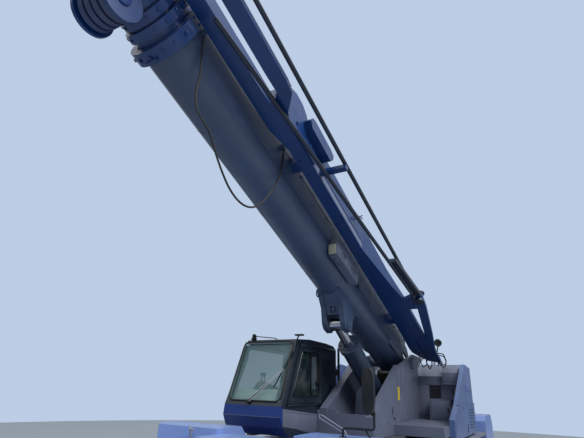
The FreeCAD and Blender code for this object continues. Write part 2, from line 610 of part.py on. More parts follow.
holes = {
    "screen": box("hole_screen", (1560, cab_right + 75, 2185), (500, S.cab_wide - 150, 810)),
    "doorway": prism("hole_doorway", "XZ", LEFT_DOORWAY, S.cab_left - 60, S.cab_left + 10),
    "left_rear": prism("hole_left_rear", "XZ", LEFT_REAR, S.cab_left - 60, S.cab_left + 10),
    "right": prism("hole_right", "XZ", RIGHT_WINDOW, cab_right - 10, cab_right + 150),
    "rear": box("hole_rear", (190, cab_right + 200, 2330), (70, S.cab_wide - 320, 560)),
    "roof": box("hole_roof", (800, cab_right + 250, 2990), (560, S.cab_wide - 430, 120)),
}
cab_cuts = fuse("cab_cuts", [shell_in] + list(holes.values()))
node(cut("cab_upper", shell_out, cab_cuts), "cab_frame")
# Panes: each a thin slab inside the wall, kept to its own hole.
SCREEN = ((1982, S.cab_sill), (1976, S.cab_sill), (1588, 3050), (1594, 3050))
RIGHT_PANE = ((cab_right + 20, S.cab_sill), (cab_right + 20 + S.pane, S.cab_sill),
              (cab_right + 20 + S.pane + S.cab_lean, 3100), (cab_right + 20 + S.cab_lean, 3100))
slabs = {
    "screen": prism("slab_screen", "XZ", SCREEN, cab_right, S.cab_left),
    "left_rear": box("slab_left_rear", (600, S.cab_left - 26, 2200), (300, S.pane, 700)),
    "right": prism("slab_right", "YZ", RIGHT_PANE, 300, 1900),
    "rear": box("slab_rear", (220, cab_right, 2200), (S.pane, S.cab_wide, 800)),
    "roof": box("slab_roof", (700, cab_right, 3044), (800, S.cab_wide, S.pane)),
}
panes = [common("pane_" + name, [slab, doc.copyObject(holes[name], True)]) for name, slab in slabs.items()]
node(group("panes", panes), "cab_glass")
DOOR = ((1860, 2160), (1525, 2965), (845, 2965), (845, 2160))
DOOR_HOLE = ((1765, 2255), (1485, 2895), (925, 2895), (925, 2255))
door_out = prism("door_out", "XZ", DOOR, S.cab_left + 6, S.cab_left + 36)
door_in = prism("door_in", "XZ", DOOR_HOLE, S.cab_left, S.cab_left + 50)
node(cut("door", door_out, door_in), "cab_door")
node(prism("door_pane", "XZ", DOOR_HOLE, S.cab_left + 18, S.cab_left + 18 + S.pane), "door_glass")
# Columns: along, height.
SEAT = ((760, 2230), (1270, 2250), (1300, 2290), (1280, 2350), (880, 2330), (760, 2880), (690, 2890),
        (660, 2850), (740, 2300))
cab_mid = S.cab_left - 0.5 * S.cab_wide
seat_pad = prism("seat_pad", "XZ", SEAT, cab_mid - 244, cab_mid + 236)
seat_foot = box("seat_foot", (820, cab_mid - 164, S.cab_low + wall), (320, 320, 480))
node(fuse("seat_all", [seat_pad, seat_foot]), "seat")
CONSOLE = ((900, 1900), (1380, 1900), (1400, 2380), (1320, 2450), (900, 2360))
consoles = []
for i, y in enumerate((cab_mid - 374, cab_mid + 271)):
    desk = prism("console_%d" % i, "XZ", CONSOLE, y, y + 110)
    leg = box("console_leg_%d" % i, (1000, y + 20, S.cab_low + wall), (200, 70, 200))
    consoles.append(fuse("side_console_%d" % i, [desk, leg]))
column = box("column", (1640, cab_mid - 54, S.cab_low + wall), (90, 100, 560))
wheel = doc.addObject("Part::Torus", "steering_wheel")
wheel.Radius1 = 190
wheel.Radius2 = 14
place(wheel, 1640, cab_mid - 4, 2350)
spoke = box("spoke", (1450, cab_mid - 19, 2342), (380, 30, 16))
node(group("controls", consoles + [fuse("steering", [column, wheel, spoke])]), "cab_controls")


# Boom: each section is a square box on a half round underside
def boom_profile(sketch, half, high):
    """Three straight walls closed by a half round, driven by two sizes."""
    mid = S.boom_low + S.boom_half
    h, t, m = half.value, high.value, mid.value
    corners = (V(h, m, 0), V(h, t, 0), V(-h, t, 0), V(-h, m, 0))
    for i in range(3):
        sketch.addGeometry(Part.LineSegment(corners[i], corners[i + 1]), False)
    circle = Part.Circle(V(0, m, 0), V(0, 0, 1), h)
    sketch.addGeometry(Part.ArcOfCircle(circle, math.pi, 2 * math.pi), False)
    for one, other in ((0, 1), (1, 2), (2, 3), (3, 0)):
        sketch.addConstraint(Sketcher.Constraint("Coincident", one, 2, other, 1))
    for edge, point in enumerate(((half, mid), (half, high), (-half, high), (-half, mid))):
        pin_point(sketch, edge, 1, point)
    index = sketch.addConstraint(Sketcher.Constraint("DistanceY", -1, 1, 3, 3, m))
    sketch.setExpression("Constraints[%d]" % index, mid.text)


def boom_shape(label, inset, start, end):
    body = doc.addObject("PartDesign::Body", label)
    sketch = flat_sketch(body, "YZ", start)
    boom_profile(sketch, S.boom_half - inset, S.boom_high - inset)
    pad(body, sketch, as_size(end) - start)
    return body


def boom_tube(label, inset, start, end, ringed):
    """A hollow section, with a thicker ring at its head end where it shows one."""
    solid = boom_shape(label + "_out", inset, start, end)
    if ringed:
        band = boom_shape(label + "_band", inset - S.ring_proud, end - S.ring_long, end)
        solid = fuse(label + "_solid", [solid, band])
    inner = boom_shape(label + "_in", inset + S.section_skin, start - 10, end + 10)
    return cut(label, solid, inner)


sections = {}
for count in (1, 2, 3, 4):
    start = as_size(1000 + 60 * count)
    end = S.boom_long + S.first_step + S.step_long * count
    sections[count] = boom_tube("boom_tube_%d" % (count + 1), S.section_wall * count, start, end, count < 4)

# Base section: rounded foot, lugs for the lift cylinder joined by a web, side plates and hose clips
FOOT = ((-120, -60), (-60, -150), (60, -180), (700, -225), (930, -240), (930, 455), (700, 455), (-60, 120),
        (-130, 60))
foot_round = boom_shape("foot_round", S.boom_half - S.foot_half, -130, 930)
foot_side = prism("foot_side_view", "XZ", FOOT, -S.foot_half, S.foot_half, level=True)
LUG = ((2050, -230), (2240, -285), (2285, -300), (2300, -345), (2350, -600), (2385, -650), (2530, -650),
       (2600, -600), (2720, -400), (2950, -230), (2950, -200), (2050, -200))
WEB = ((2640, -480), (2740, -370), (2900, -240), (2900, -200), (2640, -200))
DOUBLER = ((2000, 60), (3560, 60), (5150, 40), (5240, 440), (2000, 440))
foot_wall = boom_shape("foot_wall", ZERO, 900, 930)
pieces = [common("boom_foot", [foot_side, foot_round]), foot_wall]
outside = [boom_shape("base_outside", ZERO, 900, S.boom_long),
           prism("lug_web", "XZ", WEB, -109, 109, level=True)]
for tag, low, high in (("left", 108, 190), ("right", -190, -108)):
    outside.append(prism("lug_" + tag, "XZ", LUG, low, high, level=True))
    pin_y = 106 if low > 0 else -172
    pieces.append(rod("lug_pin_" + tag, 60, 66, (S.lug_along, pin_y, -S.lug_drop), "Y", level=True))
    boss_y = 188 if low > 0 else -208
    pieces.append(rod("lug_boss_" + tag, 95, 20, (S.lug_along, boss_y, -S.lug_drop), "Y", level=True))
base_bore = boom_shape("base_bore", S.section_skin, 890, S.boom_long + 10)
pieces.append(cut("base_tube", fuse("base_outsides", outside), base_bore))
pieces.append(prism("doubler", "XZ", DOUBLER, S.boom_half - 5, S.boom_half + 10, level=True))
base_solid = onto_boom(fuse("boom_base_all", pieces))
# The hose's points were chosen by hand: along and height in the drawing frame.
HOSE = ((5060, 5640), (5060, 5420), (5040, 5200), (5080, 4980), (5060, 4810), (4950, 4740), (4830, 4660),
        (4735, 4510), (4620, 4360), (4470, 4210), (4280, 4130), (4080, 4150), (3890, 4280), (3730, 4470),
        (3590, 4680), (3480, 4900), (3480, 5150))
clips = [box("clip_%d" % i, (u - 25, S.foot_side + S.boom_half - 5, v), (50, 50, 60))
         for i, (u, v) in enumerate((HOSE[0], HOSE[-1]))]
node(fuse("boom_base_clips", [base_solid] + clips), "boom_base")
COLLAR_CUTS = (("collar_side", (S.boom_half - 60, 60), (300, 700)), ("collar_top", (-500, 360), (1000, 400)))
collar_start = S.boom_long - S.collar_long
collar_out = boom_shape("collar_out", -S.collar_proud, collar_start, S.boom_long - 2)
collar_in = boom_shape("collar_in", -S.seat_gap, collar_start - 10, S.boom_long + 10)
collar_cuts = [box(name, (collar_start - 10, across, up), (S.collar_long + 20, wide, tall), level=True)
               for name, (across, up), (wide, tall) in COLLAR_CUTS]
collar_hollow = fuse("collar_hollow", [collar_in] + collar_cuts)
node(onto_boom(cut("collar_cut", collar_out, collar_hollow)), "boom_collar")
for count in (1, 2, 3):
    node(onto_boom(sections[count]), "boom_section_%d" % (count + 1))
SIDE_BOX = ((2840, -100), (3640, -120), (3700, 0), (3620, 180), (2840, 200))
side_box = prism("side_box", "XZ", SIDE_BOX, S.boom_half + 10, S.boom_half + 130, level=True)
node(onto_boom(side_box), "boom_side_box")

# Boom head on the last section, with its sheaves
tip = S.boom_long + S.first_step + S.step_long * 4
tip_half = S.boom_half - S.section_wall * 4
HEAD = ((-100, -150), (-16, -375), (180, -410), (520, -250), (790.5, 60), (760, 330), (-100, 330))
head = [(tip + u, v) for u, v in HEAD]
# Columns: name, along from the last section's end, up, sheave radius.
SHEAVES = (("low", -16, -375, 170), ("top", 520, 120, 170))
pieces = [sections[4]]
for tag, low, high in (("left", tip_half - 16, tip_half + 14), ("right", -tip_half - 14, -tip_half + 16)):
    pieces.append(prism("head_" + tag, "XZ", head, low, high, level=True))
    pieces.append(rod("head_lobe_" + tag, 210, high - low, (tip - 16, low, -375), "Y", level=True))
node(onto_boom(fuse("tip_all", pieces)), "boom_section_5")
sheaves = []
grip = tip_half - 16 - S.seat_gap
for tag, along, up, radius in SHEAVES:
    wheels = []
    for i in range(4):
        wheels.append(rod("sheave_%s_%d" % (tag, i), radius, 52, (tip + along, -146 + i * 80, up), "Y",
                          level=True))
    wheels.append(rod("sheave_pin_" + tag, 45, 2 * grip, (tip + along, -grip, up), "Y", level=True))
    sheaves.append(fuse("sheave_set_" + tag, wheels))
node(onto_boom(group("sheave_sets", sheaves)), "head_sheaves")

# Hanging hose: straight runs joined by tangent arcs
hose_path = doc.addObject("Sketcher::SketchObject", "hose_path")
hose_path.Placement = FreeCAD.Placement(V(0, 0, 0), FreeCAD.Rotation(V(1, 0, 0), 90))
hose_side = S.foot_side + S.boom_half + S.hose_out
place(hose_path, ZERO, hose_side, ZERO)
points = [V(u, v, 0) for u, v in HOSE]
last = points[0]
for before, here, after in zip(points, points[1:], points[2:]):
    back, ahead = (before - here), (after - here)
    run = min(back.Length, ahead.Length)
    back.normalize()
    ahead.normalize()
    half_turn = (math.pi - back.getAngle(ahead)) / 2
    reach = 0.45 * run
    middle = (back + ahead).normalize()
    bulge = reach / math.tan(half_turn) * (1 / math.cos(half_turn) - 1)
    hose_path.addGeometry(Part.LineSegment(last, here + back * reach), False)
    hose_path.addGeometry(Part.Arc(here + back * reach, here + middle * bulge, here + ahead * reach), False)
    last = here + ahead * reach
hose_path.addGeometry(Part.LineSegment(last, points[-1]), False)
hose_ring = doc.addObject("Part::Circle", "hose_ring")
drive(hose_ring, "Radius", S.hose_radius)
place(hose_ring, HOSE[0][0], hose_side, HOSE[0][1])
doc.recompute()
hose = doc.addObject("Part::Sweep", "hose")
hose.Sections = [hose_ring]
hose.Spine = (hose_path, ["Edge%d" % (i + 1) for i in range(2 * len(HOSE) - 3)])
hose.Solid = True
node(hose, "boom_hose")

# Jib stowed along the boom's left side: box with a wide heel, two legs, side plate, pad and hangers.
# Its distances across are for a boom 290 to each side, and all of it moves with the boom's side.
jib_shift = S.boom_half - 290
JIB = ((-420, 330), (-300, 200), (300, S.jib_low - 40), (900, S.jib_low), (S.jib_long, S.jib_low),
       (S.jib_long, S.jib_high - 60), (S.jib_long - 500, S.jib_high), (500, S.jib_high), (-420, 480))
HEEL = ((-420, S.jib_out - 10), (3350, S.jib_out - 10), (3350, S.jib_out), (2300, 760), (1900, S.jib_heel),
        (-420, S.jib_heel))
HEEL_SIDE = ((S.jib_out - 10, S.jib_low), (S.jib_heel, S.jib_low), (S.jib_heel, S.jib_low + 60),
             (S.jib_out - 10, 500))
HEEL_END = ((-600, 380), (260, 380), (110, 440), (-270, 570), (-385, 800), (-385, 900), (-600, 900))
box_side = prism("jib_box", "XZ", JIB, S.jib_in, S.jib_out, level=True)
heel = common("jib_heel", [prism("heel_plan", "XY", HEEL, 100, 600, level=True),
                           prism("heel_side", "YZ", HEEL_SIDE, -420, 3350, level=True)])
heel_end = prism("heel_end", "XY", HEEL_END, 0, 700, level=True)
LEG_IN = ((5300, S.jib_in), (5660, 360), (S.leg_end, 340), (S.leg_end, 520), (5950, 550), (5300, 580))
LEG_OUT = ((6050, 700), (6300, 690), (S.leg_end, 670), (S.leg_end, 840), (6150, 868), (6050, 860))
BRACE = ((5560, 600), (5940, 600), (6090, 710), (6090, 850), (5990, 850), (5800, 700))
SIDE_PLATE = ((6000, 190), (6000, 500), (5900, 590), (5730, 665), (5560, 665), (5440, 620), (5360, 555),
              (5050, 470), (5000, 190))
PAD = ((5450, 470), (5420, 540), (5350, 560), (4880, 560), (4800, 540), (4780, 480), (4830, 400), (5380, 400))
pieces = [cut("jib_body", fuse("jib_box_heel", [box_side, heel]), heel_end),
          prism("leg_in", "XY", LEG_IN, S.jib_low, 340, level=True),
          prism("leg_out", "XY", LEG_OUT, S.jib_low, 240, level=True),
          prism("leg_brace", "XY", BRACE, S.jib_low + 10, 230, level=True),
          prism("jib_side_plate", "XZ", SIDE_PLATE, S.jib_out - 2, S.jib_out + 30, level=True),
          prism("jib_pad", "XZ", PAD, S.jib_out - 2, S.jib_out + 130, level=True)]
# Columns: name, along, across, up, length, width, height.
ARMS = (("hanger_low", 1120, 290, 200, 150, 180, 120),
        ("hanger_top", 4900, 300, 240, 160, 170, 120),
        ("rod_arm", 4770, S.jib_out - 2, 214, 70, 362, 60 - S.seat_gap),
        ("rod_arm_head", 7680, 820, 200, 70, 120, 74 - S.seat_gap))
for name, along, across, up, long, wide, tall in ARMS:
    pieces.append(box(name, (along, across, up), (long, wide, tall), level=True))
node(onto_boom(fuse("jib_all", pieces), jib_shift), "jib")

# Strut at the jib's heel and the two tension rods that end in its head
STRUT = ((2020, 1040), (1980, 1140), (1620, 1120), (700, 990), (100, 890), (-380, 880), (-380, S.jib_heel),
         (550, S.jib_heel), (1600, 970))
STRUT_ROOT = ((1600, S.jib_heel), (1900, S.jib_heel), (2020, 1040), (1600, 1040))
strut = [prism("strut_bar", "XY", STRUT, S.jib_low, S.jib_low + 60, level=True),
         prism("strut_root", "XY", STRUT_ROOT, S.jib_low, S.jib_low + 60, level=True),
         rod("strut_head", 70, 150, (1900, 1075, 130), "Z", level=True)]
node(onto_boom(fuse("strut_all", strut), jib_shift), "jib_strut")
# Columns: name, start, end of each rod along, across and up.
RODS = (("inner", (1992, 1032, 150), (7000, 535, 150)), ("outer", (2050, 1010, 300), (7760, 918, 300)))
RODS_PLATE = ((2020, 1040), (2950, 915), (2950, 1030), (1980, 1140))
rods = [prism("rods_plate", "XY", RODS_PLATE, S.jib_low - 15, S.jib_low + 45, level=True),
        box("rods_lug", (2060, 985, 200), (120, 50, 110), level=True),
        box("rods_clip", (6900, 515, 160), (60, 40, S.jib_low - 160), level=True)]
for name, start, end in RODS:
    direction = V(*end) - V(*start)
    bar = rod("tension_rod_" + name, S.stay_radius, direction.Length, start, "Z", level=True)
    bar.Placement = FreeCAD.Placement(V(*start), FreeCAD.Rotation(V(0, 0, 1), direction))
    rods.append(bar)
node(onto_boom(fuse("tension_rods", rods), jib_shift), "jib_rods")


# Lift cylinder from the turntable to the boom's lugs
slant = math.radians(S.boom_angle.value)
lug_x = -S.foot_back.value + S.lug_along.value * math.cos(slant) + S.lug_drop.value * math.sin(slant)
lug_z = S.foot_high.value + S.lug_along.value * math.sin(slant) - S.lug_drop.value * math.cos(slant)
LIFT_X = ("(0 - Sizes.foot_back + Sizes.lug_along * cos(Sizes.boom_angle * 1 deg)"
          " + Sizes.lug_drop * sin(Sizes.boom_angle * 1 deg) - Sizes.eye_back)")
LIFT_Z = ("(Sizes.foot_high + Sizes.lug_along * sin(Sizes.boom_angle * 1 deg)"
          " - Sizes.lug_drop * cos(Sizes.boom_angle * 1 deg) - Sizes.eye_high)")
lift_angle = math.degrees(math.atan2(lug_z - S.eye_high.value, lug_x - S.eye_back.value))
lift_long = Size(math.hypot(lug_z - S.eye_high.value, lug_x - S.eye_back.value),
                 "sqrt(%s * %s + %s * %s)" % (LIFT_X, LIFT_X, LIFT_Z, LIFT_Z))


def along_ram(obj):
    """Lay a shape drawn along X onto the line from the lower pin to the boom's lugs."""
    obj.Placement = FreeCAD.Placement(V(0, 0, 0), FreeCAD.Rotation(V(0, -1, 0), lift_angle))
    obj.setExpression("Placement.Rotation.Angle", "atan2(%s; %s)" % (LIFT_Z, LIFT_X))
    place(obj, S.eye_back, S.foot_side, S.eye_high)
    return obj


half_eye = S.ram_eye_wide * 0.5
ram_tube = fuse("ram_tube", [
    rod("eye_low", S.ram_eye + 10, S.ram_eye_wide, (ZERO, -half_eye, ZERO), "Y", level=True),
    rod("ram_neck", S.ram_eye, 240, (ZERO, ZERO, ZERO), "X", level=True),
    rod("ram_out", S.ram_radius, S.ram_long - 230, (230, ZERO, ZERO), "X", level=True),
    rod("ram_collar", S.ram_radius + 18, 90, (S.ram_long - 90, ZERO, ZERO), "X", level=True)])
ram_hole = rod("ram_hole", S.ram_bore, S.ram_long, (320, ZERO, ZERO), "X", level=True)
node(along_ram(cut("ram_cut", ram_tube, ram_hole)), "lift_cylinder")
rod_start = as_size(640)
rod_pieces = [rod("eye_top", S.ram_eye, S.ram_eye_wide, (lift_long, -half_eye, ZERO), "Y", level=True),
              rod("rod_bar", S.ram_rod, lift_long - rod_start - 40, (rod_start, ZERO, ZERO), "X", level=True)]
node(along_ram(fuse("rod_all", rod_pieces)), "lift_rod")

# Mirror on its bent arm
# Columns: name, low corner, lengths.
ARM = (("arm_foot", (3190, 970, S.fender_top), (26, 26, 95)),
       ("arm_across", (3190, 970, 2020), (26, 340, 26)),
       ("arm_up", (3190, 1284, 2020), (26, 26, 560)))
pieces = [box(name, corner, size) for name, corner, size in ARM]
OVAL = ((1190, 2250), (1215, 2190), (1260, 2165), (1310, 2180), (1345, 2240), (1355, 2400), (1345, 2520),
        (1310, 2585), (1260, 2600), (1215, 2575), (1190, 2510), (1180, 2400))
pieces.append(prism("mirror_head", "YZ", OVAL, 3200, 3265))
node(fuse("mirror_all", pieces), "mirror")

doc.recompute()
bad = [obj.Label for obj in doc.Objects if "Invalid" in obj.State or "Error" in obj.State]
for obj in doc.Objects:
    shape = getattr(obj, "Shape", None)
    if shape is not None and not shape.isNull() and not shape.isValid():
        bad.append(obj.Label)
if bad:
    raise RuntimeError("broken pieces: " + ", ".join(sorted(set(bad))))
low = V(1e9, 1e9, 1e9)
high = V(-1e9, -1e9, -1e9)
for name, obj in NODES:
    bound = obj.Shape.BoundBox
    low = V(min(low.x, bound.XMin), min(low.y, bound.YMin), min(low.z, bound.ZMin))
    high = V(max(high.x, bound.XMax), max(high.y, bound.YMax), max(high.z, bound.ZMax))
    obj.Shape.exportStep("parts/%s.step" % name)
print("low", low, "high", high, "pieces", len(NODES))
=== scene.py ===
import json
import math
import random

import bmesh
import bpy
from mathutils import Matrix, Vector

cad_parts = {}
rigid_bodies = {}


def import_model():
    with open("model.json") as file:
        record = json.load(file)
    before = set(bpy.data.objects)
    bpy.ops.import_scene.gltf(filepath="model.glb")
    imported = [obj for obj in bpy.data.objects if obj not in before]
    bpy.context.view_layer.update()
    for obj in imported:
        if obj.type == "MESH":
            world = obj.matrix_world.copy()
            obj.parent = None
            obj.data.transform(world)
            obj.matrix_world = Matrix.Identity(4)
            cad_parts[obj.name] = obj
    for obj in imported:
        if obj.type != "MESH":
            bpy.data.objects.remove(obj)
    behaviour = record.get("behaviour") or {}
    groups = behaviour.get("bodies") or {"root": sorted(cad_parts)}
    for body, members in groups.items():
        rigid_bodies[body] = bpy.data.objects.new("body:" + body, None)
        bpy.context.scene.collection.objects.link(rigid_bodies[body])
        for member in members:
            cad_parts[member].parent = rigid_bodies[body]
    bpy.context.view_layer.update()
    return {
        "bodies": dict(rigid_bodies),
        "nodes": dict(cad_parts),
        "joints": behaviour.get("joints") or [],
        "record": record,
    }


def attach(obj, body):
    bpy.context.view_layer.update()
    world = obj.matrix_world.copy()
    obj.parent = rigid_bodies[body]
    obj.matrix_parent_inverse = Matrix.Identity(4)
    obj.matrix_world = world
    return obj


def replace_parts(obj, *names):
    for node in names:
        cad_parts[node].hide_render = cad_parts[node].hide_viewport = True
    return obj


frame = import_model()
random.seed(7)

# Distance from the row frame's origin forward to the slewing axis, in metres. Places below are
# written from the slewing axis, X forward, Y to the machine's left and Z up, and moved by at().
SLEW_X = -1.275715


def at(x, y, z):
    """A place given from the slewing axis, in the row frame."""
    return Vector((x + SLEW_X, y, z))


# Camera: fitted to the photograph, with its three axes and its focal length in pixels.
FRAME_WIDE = 584
FOCAL_PIXELS = 447.377
SENSOR = 36.0
CAMERA_AT = at(7.654, 2.945, 2.434)
CAMERA_RIGHT = Vector((-0.4968, 0.8675, 0.0246))
CAMERA_DOWN = Vector((-0.3103, -0.1512, -0.9385))
CAMERA_AHEAD = Vector((-0.8105, -0.4739, 0.3443))


def set_camera():
    data = bpy.data.cameras.new("camera")
    data.sensor_width = SENSOR
    data.lens = SENSOR * FOCAL_PIXELS / FRAME_WIDE
    data.clip_end = 400
    camera = bpy.data.objects.new("camera", data)
    bpy.context.scene.collection.objects.link(camera)
    turn = Matrix((CAMERA_RIGHT, -CAMERA_DOWN, -CAMERA_AHEAD)).transposed().to_4x4()
    camera.matrix_world = Matrix.Translation(CAMERA_AT) @ turn
    bpy.context.scene.camera = camera


set_camera()

# Light: a soft sky that is bright above and dim below, one large lamp, and a pale floor
SKY = (0.50, 0.61, 0.78)
FLOOR = (0.37, 0.41, 0.47)
LIGHT_TOP = (0.92, 0.97, 1.0)
LIGHT_LOW = (0.05, 0.10, 0.17)


def link(tree, out_socket, in_socket):
    tree.links.new(out_socket, in_socket)


def set_world():
    world = bpy.data.worlds.new("studio")
    bpy.context.scene.world = world
    world.use_nodes = True
    tree = world.node_tree
    tree.nodes.clear()
    out = tree.nodes.new("ShaderNodeOutputWorld")
    lit = tree.nodes.new("ShaderNodeBackground")
    seen = tree.nodes.new("ShaderNodeBackground")
    mix = tree.nodes.new("ShaderNodeMixShader")
    path = tree.nodes.new("ShaderNodeLightPath")
    either = tree.nodes.new("ShaderNodeMath")
    either.operation = "MAXIMUM"
    place = tree.nodes.new("ShaderNodeTexCoord")
    split = tree.nodes.new("ShaderNodeSeparateXYZ")
    ramp = tree.nodes.new("ShaderNodeValToRGB")
    ramp.color_ramp.elements[0].position = 0.42
    ramp.color_ramp.elements[0].color = (*LIGHT_LOW, 1)
    ramp.color_ramp.elements[1].position = 0.85
    ramp.color_ramp.elements[1].color = (*LIGHT_TOP, 1)
    half = tree.nodes.new("ShaderNodeMath")
    half.operation = "MULTIPLY_ADD"
    half.inputs[1].default_value = 0.5
    half.inputs[2].default_value = 0.5
    link(tree, place.outputs["Generated"], split.inputs[0])
    link(tree, split.outputs["Z"], half.inputs[0])
    link(tree, half.outputs[0], ramp.inputs[0])
    link(tree, ramp.outputs[0], lit.inputs["Color"])
    lit.inputs["Strength"].default_value = 0.85
    seen.inputs["Color"].default_value = (*SKY, 1)
    seen.inputs["Strength"].default_value = 1.0
    link(tree, path.outputs["Is Camera Ray"], either.inputs[0])
    link(tree, path.outputs["Is Transmission Ray"], either.inputs[1])
    link(tree, either.outputs[0], mix.inputs["Fac"])
    link(tree, lit.outputs[0], mix.inputs[1])
    link(tree, seen.outputs[0], mix.inputs[2])
    link(tree, mix.outputs[0], out.inputs["Surface"])


def set_lamp(name, place, aim, size, watts, colour):
    data = bpy.data.lights.new(name, "AREA")
    data.shape = "DISK"
    data.size = size
    data.energy = watts
    data.color = colour
    lamp = bpy.data.objects.new(name, data)
    bpy.context.scene.collection.objects.link(lamp)
    lamp.location = place
    lamp.rotation_euler = (Vector(aim) - Vector(place)).to_track_quat("-Z", "Y").to_euler()


set_world()
set_lamp("key", (4.0, 12.0, 16.0), (0, 0, 2), 9.0, 2600, (1.0, 0.98, 0.95))
bpy.context.scene.view_settings.view_transform = "Standard"


# Materials
def mix_colour(tree, low, high, factor):
    node = tree.nodes.new("ShaderNodeMix")
    node.data_type = "RGBA"
    for socket, value in ((node.inputs[6], low), (node.inputs[7], high)):
        if hasattr(value, "links") or hasattr(value, "node"):
            tree.links.new(value, socket)
        else:
            socket.default_value = (*value, 1)
    tree.links.new(factor, node.inputs[0])
    return node.outputs[2]


def noise(tree, scale, detail=3.0, stretch=None, rough=0.55):
    """Noise over the piece's own coordinates, stretched along an axis where asked."""
    place = tree.nodes.new("ShaderNodeTexCoord")
    out = place.outputs["Object"]
    if stretch:
        mapping = tree.nodes.new("ShaderNodeMapping")
        mapping.inputs["Scale"].default_value = stretch
        tree.links.new(out, mapping.inputs[0])
        out = mapping.outputs[0]
    node = tree.nodes.new("ShaderNodeTexNoise")
    node.inputs["Scale"].default_value = scale
    node.inputs["Detail"].default_value = detail
    node.inputs["Roughness"].default_value = rough
    tree.links.new(out, node.inputs["Vector"])
    return node.outputs["Fac"]


def band(tree, value, low, high, to_low=0.0, to_high=1.0):
    """Maps a value between two limits onto two others."""
    node = tree.nodes.new("ShaderNodeMapRange")
    for i, number in ((1, low), (2, high), (3, to_low), (4, to_high)):
        node.inputs[i].default_value = number
    tree.links.new(value, node.inputs[0])
    return node.outputs[0]


def new_material(name):
    material = bpy.data.materials.new(name)
    material.use_nodes = True
    tree = material.node_tree
    shader = tree.nodes["Principled BSDF"]
    return material, tree, shader


def painted(name, colour, rough=0.42, dirt=0.35, grime=(0.06, 0.055, 0.05), coat=0.15):
    """Paint with cloudy fading, rain streaks, fine chips and a slight orange peel."""
    material, tree, shader = new_material(name)
    faded = tuple(c * 1.2 + 0.002 for c in colour)
    deep = tuple(c * 0.86 for c in colour)
    base = mix_colour(tree, deep, faded, band(tree, noise(tree, 0.9, 4), 0.3, 0.7))
    streaks = band(tree, noise(tree, 2.2, 5, stretch=(1, 1, 0.09)), 0.52, 0.78, 0, dirt)
    stained = mix_colour(tree, base, tuple(0.55 * c + 0.45 * g for c, g in zip(colour, grime)), streaks)
    chips = band(tree, noise(tree, 46, 2), 0.73, 0.76)
    tree.links.new(mix_colour(tree, stained, grime, chips), shader.inputs["Base Color"])
    tree.links.new(band(tree, noise(tree, 5.5, 4), 0.3, 0.7, rough - 0.08, rough + 0.14), shader.inputs["Roughness"])
    shader.inputs["Coat Weight"].default_value = coat
    shader.inputs["Coat Roughness"].default_value = 0.2
    bump = tree.nodes.new("ShaderNodeBump")
    bump.inputs["Strength"].default_value = 0.12
    bump.inputs["Distance"].default_value = 0.002
    tree.links.new(noise(tree, 60, 2), bump.inputs["Height"])
    tree.links.new(bump.outputs[0], shader.inputs["Normal"])
    return material


def metal(name, colour, rough=0.35, scale=30.0, spread=0.1):
    """Bare or oiled metal with a little discolouring."""
    material, tree, shader = new_material(name)
    low = tuple(c * 0.7 for c in colour)
    tree.links.new(mix_colour(tree, low, colour, band(tree, noise(tree, scale, 4), 0.35, 0.65)), shader.inputs["Base Color"])
    shader.inputs["Metallic"].default_value = 1.0
    tree.links.new(band(tree, noise(tree, scale * 0.3, 3), 0.3, 0.7, rough - spread, rough + spread), shader.inputs["Roughness"])
    return material


def plastic(name, colour, rough=0.55, grain=180.0, depth=0.001, dust=0.6):
    """Moulded plastic or rubber with a fine grain and a dusty bloom."""
    material, tree, shader = new_material(name)
    dusty = tuple(c * 0.6 + 0.05 for c in colour)
    tree.links.new(mix_colour(tree, colour, dusty, band(tree, noise(tree, 3.0, 5), 0.45, 0.8, 0, dust)), shader.inputs["Base Color"])
    tree.links.new(band(tree, noise(tree, 8, 3), 0.3, 0.7, rough - 0.08, rough + 0.12), shader.inputs["Roughness"])
    bump = tree.nodes.new("ShaderNodeBump")
    bump.inputs["Strength"].default_value = 0.25
    bump.inputs["Distance"].default_value = depth
    tree.links.new(noise(tree, grain, 2), bump.inputs["Height"])
    tree.links.new(bump.outputs[0], shader.inputs["Normal"])
    return material


def glass(name, colour, rough=0.02, alpha=0.35):
    """Tinted pane with a thin film of dust."""
    material, tree, shader = new_material(name)
    tree.links.new(mix_colour(tree, colour, tuple(c * 0.5 + 0.2 for c in colour), band(tree, noise(tree, 4, 5), 0.45, 0.85, 0, 0.5)), shader.inputs["Base Color"])
    tree.links.new(band(tree, noise(tree, 9, 3), 0.3, 0.8, rough, rough + 0.06), shader.inputs["Roughness"])
    shader.inputs["Alpha"].default_value = alpha
    shader.inputs["IOR"].default_value = 1.5
    return material


